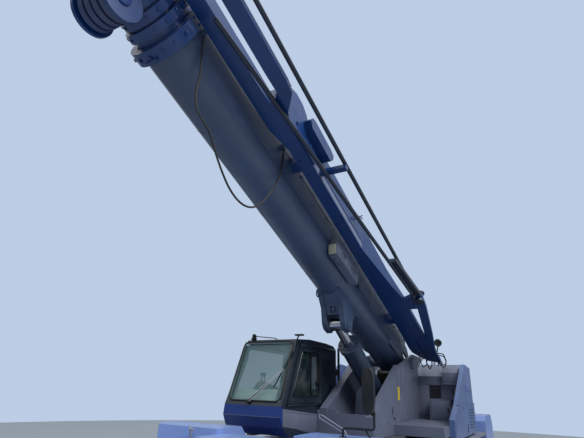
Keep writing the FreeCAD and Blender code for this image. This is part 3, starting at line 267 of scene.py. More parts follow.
MATERIALS = {
    "tyre": plastic("tyre_rubber", (0.018, 0.018, 0.019), 0.75, 90, 0.002),
    "rim_paint": painted("rim_paint", (0.42, 0.43, 0.5), 0.45, 0.6),
    "axle_black": painted("axle_paint", (0.035, 0.036, 0.04), 0.6, 0.7, (0.12, 0.1, 0.08), 0),
    "stay_grey": painted("stay_paint", (0.13, 0.14, 0.19), 0.45, 0.5),
    "bare_steel": metal("bare_steel", (0.30, 0.31, 0.33), 0.42),
    "frame_grey": painted("frame_paint", (0.07, 0.075, 0.095), 0.5, 0.5),
    "deck_grey": painted("deck_paint", (0.15, 0.16, 0.21), 0.62, 0.6),
    "fender_blue": painted("fender_paint", (0.185, 0.285, 0.62), 0.3, 0.2, coat=0.4),
    "engine_iron": painted("engine_iron", (0.05, 0.05, 0.052), 0.7, 0.7, coat=0),
    "lavender": painted("lavender_paint", (0.118, 0.137, 0.205), 0.42, 0.3),
    "cover_blue": painted("cover_paint", (0.070, 0.115, 0.28), 0.34, 0.25, coat=0.25),
    "winch_steel": painted("winch_paint", (0.08, 0.085, 0.11), 0.5, 0.5),
    "cab_blue": painted("cab_blue_paint", (0.002, 0.033, 0.22), 0.34, 0.12, coat=0.2),
    "cab_black": painted("cab_black_paint", (0.009, 0.018, 0.032), 0.3, 0.15, (0.03, 0.03, 0.03), 0.4),
    "cab_pane": glass("cab_glass", (0.20, 0.35, 0.37), alpha=0.38),
    "seat_cloth": plastic("seat_cloth", (0.03, 0.032, 0.04), 0.9, 400, 0.002),
    "cab_plastic": plastic("cab_plastic", (0.05, 0.052, 0.06), 0.6),
    "navy": painted("navy_paint", (0.003, 0.034, 0.15), 0.36, 0.2, (0.02, 0.035, 0.06), 0.25),
    "sheave_plastic": plastic("sheave_plastic", (0.05, 0.07, 0.16), 0.5),
    "ram_grey": painted("ram_paint", (0.022, 0.040, 0.080), 0.42, 0.3, (0.02, 0.03, 0.04)),
    "chrome_rod": metal("chrome_rod", (0.62, 0.64, 0.68), 0.16, 12, 0.06),
    "mirror_black": plastic("mirror_plastic", (0.003, 0.005, 0.009), 0.35, 240, dust=0.08),
    "rod_navy": painted("rod_paint", (0.006, 0.014, 0.035), 0.4, 0.3, (0.02, 0.02, 0.03), 0.2),
    "hose_black": plastic("hose_rubber", (0.014, 0.014, 0.016), 0.6, 300),
    "spring_steel": metal("spring_steel", (0.16, 0.16, 0.17), 0.5, 40),
}

BOOM_PAINT = painted("boom_paint", (0.048, 0.076, 0.145), 0.38, 0.35, (0.02, 0.03, 0.045), 0.2)

for part in frame["record"]["subparts"]:
    thing = frame["nodes"][part["node"]]
    thing.data.materials.clear()
    thing.data.materials.append(BOOM_PAINT if part["node"] == "boom_base" else MATERIALS[part["material_slot"]])


SLEW = Matrix.Translation((SLEW_X, 0, 0))
BOOM = SLEW @ Matrix.Translation((-1.26, 0.04, 2.86)) @ Matrix.Rotation(math.radians(-22.5), 4, "Y")
RAM = SLEW @ Matrix.Translation((-0.9, 0.04, 1.98)) @ Matrix.Rotation(math.radians(-32.0), 4, "Y")


class Piece:
    """Gathers the faces of one piece in a frame of its own, then makes it ride on a body."""

    def __init__(self, name, body, slot, frame=SLEW, material=None):
        self.name = name
        self.body = body
        self.slot = slot
        self.frame = frame
        self.material = material or MATERIALS[slot]
        self.mesh = bmesh.new()

    def shell(self, points, faces, bevel=0.0, steps=2):
        """A closed shell from points and faces, with its edges rounded by bevel."""
        made = [self.mesh.verts.new(self.frame @ Vector(p)) for p in points]
        new = [self.mesh.faces.new([made[i] for i in face]) for face in faces]
        bmesh.ops.recalc_face_normals(self.mesh, faces=new)
        if bevel > 0:
            edges = {edge for face in new for edge in face.edges}
            bmesh.ops.bevel(self.mesh, geom=list(edges), offset=bevel, segments=steps, profile=0.5,
                            affect="EDGES", clamp_overlap=True)

    def block(self, low, high, bevel=0.004):
        """A box between two corners."""
        points = [(x, y, z) for x in (low[0], high[0]) for y in (low[1], high[1]) for z in (low[2], high[2])]
        faces = ((0, 1, 3, 2), (4, 6, 7, 5), (0, 4, 5, 1), (2, 3, 7, 6), (0, 2, 6, 4), (1, 5, 7, 3))
        self.shell(points, faces, bevel)

    def slab(self, outline, plane, start, end, bevel=0.003):
        """An outline in a plane (XY, XZ or YZ) drawn out between two offsets on the third axis."""
        def point(u, v, w):
            return {"XY": (u, v, w), "XZ": (u, w, v), "YZ": (w, u, v)}[plane]
        count = len(outline)
        points = [point(u, v, w) for w in (start, end) for u, v in outline]
        faces = [tuple(range(count)), tuple(range(count, 2 * count))]
        faces += [(i, (i + 1) % count, (i + 1) % count + count, i + count) for i in range(count)]
        self.shell(points, faces, bevel)

    def lathe(self, profile, place, axis, sides=24):
        """A profile of (radius, along) turned about an axis through a place; ends on the axis close."""
        aim = self.frame @ Matrix.Translation(place) @ Vector(axis).to_track_quat("Z", "Y").to_matrix().to_4x4()
        rings = []
        for radius, along in profile:
            if radius <= 1e-6:
                rings.append([self.mesh.verts.new(aim @ Vector((0, 0, along)))])
            else:
                rings.append([self.mesh.verts.new(aim @ Vector((radius * math.cos(a), radius * math.sin(a), along)))
                              for a in (2 * math.pi * i / sides for i in range(sides))])
        new = []
        for one, two in zip(rings, rings[1:]):
            for i in range(sides):
                j = (i + 1) % sides
                if len(one) == 1:
                    new.append(self.mesh.faces.new((one[0], two[i], two[j])))
                elif len(two) == 1:
                    new.append(self.mesh.faces.new((one[i], one[j], two[0])))
                else:
                    new.append(self.mesh.faces.new((one[i], one[j], two[j], two[i])))
        bmesh.ops.recalc_face_normals(self.mesh, faces=new)

    def bar(self, start, end, radius, sides=12, tip=None):
        """A round bar between two points, tapered to tip where given."""
        ahead = Vector(end) - Vector(start)
        last = radius if tip is None else tip
        self.lathe(((0, 0), (radius, 0), (last, ahead.length), (0, ahead.length)), start, ahead, sides)

    def tube(self, points, radius, sides=10, bend=0.0):
        """A round tube along points, whose corners are rounded to the bend radius."""
        points = [self.frame @ Vector(p) for p in points]
        path = [points[0]]
        for before, here, after in zip(points, points[1:], points[2:]):
            one, two = (before - here).normalized(), (after - here).normalized()
            turning = math.pi - one.angle(two)
            if bend <= 0 or turning < 0.02:
                path.append(here)
                continue
            back = min(bend * math.tan(turning / 2), 0.45 * (before - here).length, 0.45 * (after - here).length)
            for i in range(7):
                share = i / 6
                path.append((here + one * back) * (1 - share) ** 2 + here * 2 * share * (1 - share)
                            + (here + two * back) * share ** 2)
        path.append(points[-1])
        side = (path[1] - path[0]).orthogonal().normalized()
        rings = []
        for i, here in enumerate(path):
            ahead = (path[min(i + 1, len(path) - 1)] - path[max(i - 1, 0)]).normalized()
            side = (side - ahead * side.dot(ahead)).normalized()
            up = ahead.cross(side)
            rings.append([self.mesh.verts.new(here + radius * (math.cos(a) * side + math.sin(a) * up))
                          for a in (2 * math.pi * k / sides for k in range(sides))])
        new = [self.mesh.faces.new((one[k], one[(k + 1) % sides], two[(k + 1) % sides], two[k]))
               for one, two in zip(rings, rings[1:]) for k in range(sides)]
        new += [self.mesh.faces.new(rings[0][::-1]), self.mesh.faces.new(rings[-1])]
        bmesh.ops.recalc_face_normals(self.mesh, faces=new)

    def bolts(self, places, axis, radius=0.014, tall=0.012):
        """Hexagon heads on their washers."""
        for place in places:
            self.lathe(((0, 0), (radius * 1.45, 0), (radius * 1.45, tall * 0.25), (0, tall * 0.25)), place, axis, 12)
            self.lathe(((0, 0), (radius, 0), (radius, tall * 0.9), (radius * 0.85, tall), (0, tall)), place, axis, 6)

    def done(self, angle=32.0):
        mesh = bpy.data.meshes.new(self.name)
        self.mesh.to_mesh(mesh)
        self.mesh.free()
        mesh.shade_smooth()
        mesh.set_sharp_from_angle(angle=math.radians(angle))
        mesh.materials.append(self.material)
        thing = bpy.data.objects.new(self.name, mesh)
        bpy.context.scene.collection.objects.link(thing)
        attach(thing, self.body)
        return thing


# Hanging hose on the boom's left side: its route's points along and up, in one upright plane
HOSE_SIDE = 0.36
HOSE = ((5.06, 5.64), (5.06, 5.42), (5.04, 5.20), (5.08, 4.98), (5.06, 4.81), (4.95, 4.74), (4.83, 4.66),
        (4.735, 4.51), (4.62, 4.36), (4.47, 4.21), (4.28, 4.13), (4.08, 4.15), (3.89, 4.28), (3.73, 4.47),
        (3.59, 4.68), (3.48, 4.90), (3.48, 5.15))
route = bpy.data.curves.new("hanging_hose", "CURVE")
route.dimensions = "3D"
route.bevel_depth = 0.011
route.bevel_resolution = 3
route.resolution_u = 6
route.use_fill_caps = True
spline = route.splines.new("NURBS")
spline.points.add(len(HOSE) - 1)
for point, (along, up) in zip(spline.points, HOSE):
    point.co = (*at(along, HOSE_SIDE, up), 1)
spline.order_u = 3
spline.use_endpoint_u = True
hose = bpy.data.objects.new("hanging_hose", route)
bpy.context.scene.collection.objects.link(hose)
route.materials.append(MATERIALS["hose_black"])
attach(hose, "boom_base")
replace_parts(hose, "boom_hose")


CORNERS = tuple((end + "_" + side, x, sign) for end, x in (("front", 2.15), ("rear", -2.05))
                for side, sign in (("left", 1), ("right", -1)))


def tyre(tag, x, sign):
    """A treaded tyre: a carcass with two rows of bars that meet at a slant."""
    piece = Piece("tread_" + tag, tag + "_wheel", "tyre")
    # Columns: radius, distance out from the wheel's middle.
    half = ((0.331, 0.228), (0.352, 0.236), (0.372, 0.232), (0.40, 0.241), (0.46, 0.257), (0.53, 0.264),
            (0.60, 0.262), (0.655, 0.25), (0.69, 0.225), (0.706, 0.17), (0.712, 0.08))
    profile = [(r, -w) for r, w in half] + [(r, w) for r, w in reversed(half)] + [(0.331, -0.228)]
    piece.lathe(profile, (x, 1.1 * sign, 0.75), (0, 1, 0), 72)
    # Columns of a bar: radius of its top, distance out, turn about the axle, half width.
    stations = ((0.75, 0.012, 0.0, 0.030), (0.75, 0.13, 0.045, 0.034), (0.733, 0.215, 0.075, 0.038),
                (0.69, 0.262, 0.085, 0.036), (0.625, 0.266, 0.088, 0.026))
    count = 22
    for side in (1, -1):
        for i in range(count):
            angle = 2 * math.pi * (i + (0.5 if side < 0 else 0.0)) / count
            points = []
            for radius, out, turn, wide in stations:
                for depth in (0.0, 0.055):
                    for edge in (-1, 1):
                        a = angle + turn * side * sign + edge * (wide + depth * 0.25) / radius
                        r = radius - depth
                        points.append((x + r * math.cos(a), 1.1 * sign + side * (out - 0.3 * depth * (out > 0.2)),
                                       0.75 + r * math.sin(a)))
            faces = []
            for k in range(len(stations) - 1):
                a, b = 4 * k, 4 * k + 4
                faces += [(a, a + 1, b + 1, b), (a, b, b + 2, a + 2), (a + 1, a + 3, b + 3, b + 1)]
            last = 4 * (len(stations) - 1)
            faces += [(0, 2, 3, 1), (last, last + 1, last + 3, last + 2)]
            faces += [(4 * k + 2, 4 * k + 6, 4 * k + 7, 4 * k + 3) for k in range(len(stations) - 1)]
            piece.shell(points, faces, 0.0)
    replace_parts(piece.done(40), tag + "_tyre")


def wheel_fittings(tag, x, sign):
    """Nuts, hub bolts, lock ring and valve of one wheel."""
    piece = Piece("wheel_nuts_" + tag, tag + "_wheel", "bare_steel")
    out = (0, sign, 0)
    middle = 1.1 * sign

    def around(count, radius, across, start=0.0):
        return [(x + radius * math.cos(start + 2 * math.pi * i / count), middle + across * sign,
                 0.75 + radius * math.sin(start + 2 * math.pi * i / count)) for i in range(count)]
    piece.bolts(around(12, 0.262, -0.031), out, 0.017, 0.03)
    piece.bolts(around(10, 0.148, 0.094), out, 0.011, 0.014)
    piece.bolts(around(6, 0.088, 0.134), out, 0.008, 0.01)
    piece.lathe(((0.0, 0.0), (0.036, 0.0), (0.036, 0.02), (0.028, 0.03), (0.0, 0.03)),
                (x, middle + 0.134 * sign, 0.75), out, 20)
    ring = [(0.321 + 0.008 * math.cos(a), 0.241 + 0.008 * math.sin(a))
            for a in (2 * math.pi * i / 8 for i in range(9))]
    piece.lathe(ring, (x, middle, 0.75), out, 72)
    piece.tube([(x + 0.29, middle - 0.03 * sign, 0.75), (x + 0.295, middle + 0.03 * sign, 0.76),
                (x + 0.30, middle + 0.09 * sign, 0.80)], 0.007, 8, 0.03)
    piece.done()


for tag, x, sign in CORNERS:
    tyre(tag, x, sign)
    wheel_fittings(tag, x, sign)

# Cab: rubber round each window, wiper, lower skin, handles, lamps, mirror and lining
RAKE = Vector((0.9209, 0.0, 0.3897))
CAB_LEFT = -0.452
DOOR_TINT = glass("door_tint", (0.012, 0.028, 0.034), alpha=0.62)
# The dash cover gets a near-white colour so it reads pale inside the shaded cab: painted light, stronger than its own
# colour.
DASH_PAINTED_LIGHT = plastic("dash_cover_painted_light", (0.75, 0.92, 0.80), 0.7, dust=0.1)
PALE_PAINT = painted("pale_paint", (0.55, 0.55, 0.60), 0.4, 0.35)
frame["nodes"]["door_glass"].data.materials[0] = DOOR_TINT


def on_screen(y, z, out=0.0):
    """A point on the raked windscreen, out from it by a distance."""
    return Vector((2.0 - 0.4232 * (z - 2.127), y, z)) + RAKE * out


def on_right(x, z, out=0.0):
    """A point on the cab's right side, which leans in towards its roof."""
    return Vector((x, -1.42 + 0.0924 * (z - 2.127) - out, z))


gasket = Piece("window_rubber", "turntable", "mirror_black")
RUBBERS = (
    [on_screen(y, z, 0.005) for y, z in ((-1.388, 2.185), (-0.494, 2.185), (-0.494, 3.025), (-1.375, 3.025))],
    [on_right(x, z, 0.001) for x, z in ((1.835, 2.205), (1.54, 2.935), (0.355, 2.915), (0.355, 2.205))],
    [(x, -0.45, z) for x, z in ((0.79, 2.30), (0.79, 2.80), (0.70, 2.80), (0.70, 2.30))],
    [(0.20, y, z) for y, z in ((-1.22, 2.33), (-0.572, 2.33), (-0.572, 2.89), (-1.22, 2.89))],
    [(x, y, 3.066 + 0.012 * (x < 1)) for x, y in ((0.81, -1.16), (1.35, -1.16), (1.35, -0.63), (0.81, -0.63))],
)
for loop in RUBBERS:
    start = [(Vector(loop[0]) + Vector(loop[1])) / 2]
    gasket.tube(start + [Vector(p) for p in loop[1:]] + [Vector(loop[0])] + start, 0.012, 8, 0.09)
gasket.done(50)

margin = Piece("screen_margin", "turntable", "cab_pane", material=plastic("screen_margin", (0.085, 0.135, 0.15), 0.2, dust=0.2))
INNER = ((-1.343, 2.187), (-0.529, 2.187), (-0.529, 2.993), (-1.343, 2.993))
OUTER = ((-1.388, 2.180), (-0.494, 2.180), (-0.494, 3.028), (-1.375, 3.028))
for i in range(4):
    j = (i + 1) % 4
    corners = (INNER[i], INNER[j], OUTER[j], OUTER[i])
    margin.shell([on_screen(y, z, out) for out in (0.001, 0.004) for y, z in corners],
                 [(0, 1, 2, 3), (4, 7, 6, 5), (0, 4, 5, 1), (1, 5, 6, 2), (2, 6, 7, 3), (3, 7, 4, 0)])
margin.done()

arm = Piece("wiper_arm", "turntable", "bare_steel", material=PALE_PAINT)
arm.tube([on_screen(-1.01, 2.18, 0.035), on_screen(-0.80, 2.36, 0.055), on_screen(-0.53, 2.615, 0.045)], 0.0045, 8)
arm.tube([on_screen(-0.985, 2.165, 0.035), on_screen(-0.775, 2.34, 0.055), on_screen(-0.515, 2.595, 0.045)], 0.004, 8)
arm.done()
wiper = Piece("wiper_blade", "turntable", "mirror_black")
for side in (-0.011, 0.014):
    wiper.tube([on_screen(-1.01 + side, 2.17 + side, 0.03), on_screen(-0.79 + side, 2.34 + side, 0.05)], 0.006, 8)
wiper.tube([on_screen(-0.462, 2.87, 0.018), on_screen(-0.55, 2.60, 0.022), on_screen(-0.637, 2.364, 0.018)], 0.010, 6)
wiper.tube([on_screen(-0.49, 2.75, 0.022), on_screen(-0.535, 2.615, 0.045), on_screen(-0.59, 2.49, 0.022)], 0.005, 6)
wiper.lathe(((0, 0), (0.036, 0), (0.036, 0.02), (0.02, 0.04), (0, 0.04)), on_screen(-1.0, 2.17, 0.0), RAKE, 16)
wiper.done()

# Lower skin on the cab's left side: a dark strip over a pale panel, with a raised rear part
skin = Piece("cab_left_strip", "turntable", "cab_black")
skin.slab(((1.985, 2.128), (1.968, 2.10), (0.71, 1.973), (0.22, 1.93), (0.22, 2.128)), "XZ", CAB_LEFT, CAB_LEFT + 0.003, 0)
skin.done()
skin = Piece("cab_left_panel", "turntable", "lavender")
skin.slab(((1.968, 2.099), (1.953, 1.875), (1.593, 1.828), (1.182, 1.748), (0.22, 1.745), (0.22, 1.929), (0.71, 1.972)),
          "XZ", CAB_LEFT, CAB_LEFT + 0.003, 0.001)
skin.slab(((1.667, 1.99), (1.64, 1.842), (1.19, 1.755), (0.95, 1.755), (0.95, 1.985)), "XZ", CAB_LEFT + 0.002, CAB_LEFT + 0.005, 0.001)
skin.slab(((1.962, 2.085), (1.960, 2.073), (0.95, 1.972), (0.95, 1.986)), "XZ", CAB_LEFT + 0.002, CAB_LEFT + 0.008, 0.002)
skin.block((0.899, -0.446, 1.755), (0.929, -0.402, 2.06), 0.002)
skin.done()
# A black sheet over the blue lower body under the pale panel: painted shade for the inward-sloping underside that lies
# in shadow.
skin = Piece("cab_under_painted_shade", "turntable", "cab_black")
skin.slab(((1.953, 1.874), (1.95, 1.857), (1.78, 1.742), (1.19, 1.742), (1.182, 1.747), (1.593, 1.827)),
          "XZ", CAB_LEFT, CAB_LEFT + 0.002, 0)
skin.done()
trim = Piece("cab_front_line", "turntable", "lavender")
trim.tube([(2.0205, -1.41, 1.99), (2.0205, -0.46, 1.99)], 0.0035, 6)
trim.done()

cab_trim = Piece("cab_trim", "turntable", "cab_black")
# Columns: low corner, high corner.
for low, high in (((0.30, -0.449, 2.972), (1.52, -0.425, 2.996)), ((0.25, -0.449, 2.128), (1.86, -0.425, 2.15)),
                  ((0.84, -0.444, 2.14), (0.875, -0.436, 2.97)), ((0.24, -1.395, 2.112), (1.97, -1.385, 2.14))):
    cab_trim.block(low, high, 0.004)
cab_trim.block((0.43, -1.10, 3.05), (0.70, -0.74, 3.10), 0.02)
for edge in (-1.377, -0.495):
    cab_trim.slab(((edge - 0.022, 2.14), (edge + 0.022, 2.14), (edge + 0.022, 3.04), (edge - 0.022, 3.04)), "YZ", 0, 0.001, 0)
cab_trim.done()

# Roof lamps: one on a stem over the left pillar, one at the right end of a rod
lamps = Piece("roof_lamps", "turntable", "mirror_black")
lamps.bar((1.585, -0.460, 3.055), (1.59, -0.425, 3.115), 0.011, 10)
lamps.block((1.555, -0.48, 3.106), (1.635, -0.35, 3.130), 0.008)
lamps.block((1.56, -1.27, 3.055), (1.63, -1.205, 3.10), 0.01)
lamps.lathe(((0, 0), (0.026, 0), (0.032, 0.02), (0.032, 0.04), (0.02, 0.05), (0, 0.05)), (1.57, -1.235, 3.122), (1, 0, 0), 20)
lamps.tube([(1.60, -1.235, 3.118), (1.60, -0.85, 3.082), (1.60, -0.80, 3.062)], 0.007, 8, 0.02)
lamps.done()

rail = Piece("cab_rail", "turntable", "mirror_black")
rail.tube([on_right(1.73, 2.30, 0.0), on_right(1.745, 2.30, 0.014), on_right(1.535, 2.80, 0.014), on_right(1.52, 2.80, 0.0)],
          0.008, 10, 0.02)
rail.done()
horn = Piece("rear_lamp", "turntable", "mirror_black")
horn.bar((0.205, -0.49, 2.62), (0.17, -0.47, 2.62), 0.014, 10)
horn.lathe(((0, 0), (0.03, 0.0), (0.052, 0.03), (0.055, 0.075), (0.047, 0.08), (0.04, 0.07), (0, 0.068)),
           (0.15, -0.50, 2.62), (0.4, 0.9, 0.1), 20)
horn.done()

door_kit = Piece("door_kit", "cab_door", "mirror_black")
door_kit.block((0.90, -0.420, 2.40), (1.06, -0.404, 2.47), 0.008)
door_kit.tube([(0.93, -0.41, 2.45), (0.93, -0.385, 2.45), (1.03, -0.385, 2.45), (1.03, -0.41, 2.45)], 0.009, 8, 0.03)
door_kit.tube([(1.18, -0.416, 2.9), (0.925, -0.416, 2.895), (0.925, -0.416, 2.255), (1.765, -0.416, 2.255),
               (1.485, -0.416, 2.895), (1.18, -0.416, 2.895)], 0.011, 8, 0.07)
door_kit.slab(((1.185, 2.255), (1.215, 2.255), (1.215, 2.895), (1.185, 2.895)), "XZ", -0.432, -0.414, 0.004)
for x in (0.93, 1.45):
    door_kit.lathe(((0, 0), (0.022, 0), (0.022, 0.016), (0, 0.016)), (x, -0.43, 2.93), (0, 1, 0), 16)
door_kit.done()

# Dash under the windscreen with its instruments, levers, pedals and a small box
# The dash's near-white colour is painted light that makes up for the shade inside the cab.
dash = Piece("dash", "turntable", "cab_plastic", material=DASH_PAINTED_LIGHT)
dash.slab(((1.74, 2.13), (1.915, 2.13), (1.902, 2.20), (1.84, 2.33), (1.77, 2.35), (1.735, 2.30)), "XZ", -1.34, -0.62, 0.02)
dash.slab(((1.70, 2.16), (1.76, 2.16), (1.75, 2.34), (1.715, 2.335)), "XZ", -1.22, -0.98, 0.012)
dash.done()
levers = Piece("cab_levers", "turntable", "cab_plastic")
for y in (-1.255, -0.61):
    for x in (1.20, 1.28):
        levers.bar((x, y, 2.40), (x + 0.02, y, 2.53), 0.009, 8)
        levers.lathe(((0, 0), (0.018, 0), (0.024, 0.03), (0.02, 0.06), (0, 0.068)), (x + 0.02, y, 2.52), (0, 0, 1), 14)
for y in (-1.12, -0.98, -0.78):
    levers.slab(((1.78, 1.80), (1.80, 1.79), (1.87, 1.90), (1.85, 1.915)), "XZ", y - 0.04, y + 0.04, 0.004)
    levers.bar((1.79, y, 1.785), (1.83, y, 1.85), 0.01, 8)
levers.block((1.60, -1.02, 2.30), (1.70, -0.85, 2.338), 0.012)
levers.done()


def oval(middle, half_across, half_up, power=0.62, count=28):
    """A rounded outline about a middle, squarer than an ellipse."""
    def side(value, half):
        return math.copysign(abs(value) ** power, value) * half
    turns = [2 * math.pi * i / count for i in range(count)]
    return [(middle[0] + side(math.cos(a), half_across), middle[1] + side(math.sin(a), half_up)) for a in turns]


glass_side = Piece("mirror_head", "carrier", "mirror_black")
glass_side.slab(oval((1.271, 2.383), 0.062, 0.217), "YZ", 3.203, 3.262, 0.016)
glass_side.slab(oval((1.271, 2.383), 0.052, 0.205), "YZ", 3.196, 3.206, 0.003)
glass_side.tube([(3.203, 0.983, 1.951), (3.203, 0.983, 2.033), (3.203, 1.31, 2.033), (3.203, 1.31, 2.20),
                 (3.225, 1.295, 2.24)], 0.0115, 10, 0.035)
glass_side.tube([(3.203, 1.215, 2.033), (3.203, 1.245, 1.99), (3.203, 1.275, 1.951)], 0.009, 8, 0.03)
glass_side.tube([(3.19, 1.30, 2.16), (3.185, 1.315, 2.30), (3.19, 1.30, 2.46)], 0.009, 8, 0.06)
for y in (0.983, 1.275):
    glass_side.block((3.175, y - 0.03, 1.9495), (3.231, y + 0.03, 1.959), 0.003)
for z in (2.17, 2.45):
    glass_side.block((3.186, 1.284, z - 0.016), (3.214, 1.322, z + 0.016), 0.004)
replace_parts(glass_side.done(), "mirror")

STICKER = painted("sticker", (0.55, 0.42, 0.03), 0.5, 0.4, coat=0)
# Near-black: the own colour of the dark joints in the plates, and painted shade in the grille, slit, latch slot and
# louvre openings.
HOLE_SHADE_AND_JOINT_BLACK = plastic("hole_shade_and_joint_black", (0.006, 0.007, 0.010), 0.8, dust=0.1)


def blocks(name, body, slot, table, bevel=0.004, material=None, frame=SLEW):
    """One piece made of blocks, each given by its low and high corner."""
    piece = Piece(name, body, slot, frame, material)
    for low, high in table:
        piece.block(low, high, bevel)
    return piece


def around(place, radius, count, turn=0.0):
    """Places on a circle in the XZ plane."""
    return [(place[0] + radius * math.cos(turn + 2 * math.pi * i / count), place[1],
             place[2] + radius * math.sin(turn + 2 * math.pi * i / count)) for i in range(count)]


# Main plates: seams, blank sticker, latch, pin keeper and bolts
PLATE_OUT = 0.461
seams = Piece("plate_seams", "turntable", "lavender", material=HOLE_SHADE_AND_JOINT_BLACK)
for x, low, high in ((-0.30, 2.12, 2.655), (-0.505, 2.34, 2.765)):
    seams.block((x - 0.004, PLATE_OUT - 0.002, low), (x + 0.004, PLATE_OUT + 0.0015, high), 0)
seams.block((0.02, PLATE_OUT - 0.002, 2.0), (0.05, PLATE_OUT + 0.003, 2.10), 0.001)
seams.block((-0.10, PLATE_OUT - 0.002, 1.92), (-0.02, PLATE_OUT + 0.003, 1.95), 0.001)
seams.done()
label = blocks("plate_sticker", "turntable", "lavender", (((-0.40, PLATE_OUT - 0.001, 2.208), (-0.29, PLATE_OUT + 0.0015, 2.416)),),
               0, STICKER)
label.done()
plates = Piece("plate_fittings", "turntable", "lavender")
plates.block((-0.02, PLATE_OUT - 0.002, 2.115), (0.09, PLATE_OUT + 0.006, 2.13), 0.002)
for y, out in ((PLATE_OUT + 0.02, 1), (-0.42, -1)):
    plates.bolts(around((-1.26, y, 2.86), 0.098, 8, 0.4), (0, out, 0), 0.012, 0.011)
    plates.lathe(((0, 0), (0.06, 0), (0.06, 0.012), (0.05, 0.018), (0, 0.018)), (-1.26, y, 2.86), (0, out, 0), 28)
for x in (-0.9, -0.6, -0.1, 0.3, 0.7):
    for y, out in ((PLATE_OUT, 1), (-0.40, -1)):
        plates.bolts([(x, y, 1.90)], (0, out, 0), 0.014, 0.012)
plates.done()

panel = Piece("winch_panel", "turntable", "lavender")
panel.slab(((-0.285, 1.851), (-0.379, 2.03), (-0.444, 2.30), (-1.83, 2.84), (-1.878, 2.70), (-1.878, 1.851)), "XZ", 0.396, 0.410, 0.003)
panel.done()

# Counterweight front: box, grille, slit and locker door
front = Piece("tail_box", "turntable", "lavender")
front.slab(((-1.879, 2.50), (-1.80, 2.50), (-1.80, 2.70), (-1.90, 2.79), (-1.985, 2.79), (-1.879, 2.63)), "XZ", 0.885, 1.196, 0.008)
front.block((-1.878, 0.875, 2.478), (-1.79, 1.206, 2.502), 0.004)
front.block((-1.879, 0.60, 2.205), (-1.868, 0.842, 2.222), 0.002)
front.block((-1.879, 0.60, 2.47), (-1.868, 0.842, 2.487), 0.002)
front.block((-1.579, 0.69, 1.875), (-1.570, 1.03, 2.185), 0.004)
front.block((-1.879, 0.20, 1.90), (-1.872, 0.60, 2.45), 0.003)
front.bolts([(-1.872, y, z) for y in (0.24, 0.56) for z in (1.94, 2.41)], (1, 0, 0), 0.01, 0.009)
for z in (1.95, 2.11):
    front.lathe(((0, 0), (0.011, 0), (0.011, 0.05), (0, 0.05)), (-1.572, 0.70, z - 0.025), (0, 0, 1), 12)
front.done()
# Black sheets behind the slats, in the slit and in the latch slot: painted shade inside the openings.
grille = Piece("tail_grille", "turntable", "lavender", material=HOLE_SHADE_AND_JOINT_BLACK)
grille.block((-1.881, 0.616, 2.226), (-1.874, 0.826, 2.466), 0)
grille.block((-1.881, 1.04, 2.30), (-1.876, 1.062, 2.42), 0)
grille.block((-1.576, 0.99, 1.99), (-1.566, 1.01, 2.07), 0.002)
grille.done()
slats = Piece("grille_slats", "turntable", "winch_steel")
for i in range(9):
    z = 2.238 + 0.026 * i
    slats.slab(((-1.874, z), (-1.860, z + 0.010), (-1.860, z + 0.014), (-1.874, z + 0.004)), "XZ", 0.614, 0.828, 0)
slats.done()

# Counterweight: lifting eyes, joints between its slabs, bolts, rear lamps and reflectors
tail = Piece("tail_fittings", "turntable", "lavender")
for y in (-0.8, 0.8):
    for x in (-2.28, -2.62):
        half = [(0.055 * math.cos(math.pi * i / 10), 0.03 + 0.055 * math.sin(math.pi * i / 10)) for i in range(11)]
        rim = [(x - 0.055, 2.859)] + [(x + u, 2.859 + v) for u, v in reversed(half)] + [(x + 0.055, 2.859)]
        tail.slab(rim, "XZ", y * (0.72 if x < -2.5 else 1) - 0.012, y * (0.72 if x < -2.5 else 1) + 0.012, 0.003)
for z in (2.08, 2.46):
    for low, high in (((-2.745, -0.648), (-2.738, 0.648)), ((-2.376, 1.249), (-1.885, 1.2525)), ((-2.376, -1.2525), (-1.885, -1.249))):
        tail.block((low[0], low[1], z - 0.006), (high[0], high[1], z + 0.006), 0.001)
tail.bolts([(-2.739, y, z) for y in (-0.55, 0.0, 0.55) for z in (1.9, 2.27, 2.66)], (-1, 0, 0), 0.02, 0.018)
tail.done()
lamps = Piece("tail_lamps", "turntable", "mirror_black")
for y in (-0.38, 0.38):
    lamps.block((-2.765, y - 0.09, 1.80), (-2.739, y + 0.09, 1.86), 0.008)
lamps.block((-2.80, -0.05, 2.79), (-2.739, 0.05, 2.85), 0.01)
lamps.done()

# Side covers: edge lips, louvres, handles and hinges
cover_kit = Piece("cover_trim", "turntable", "cover_blue")
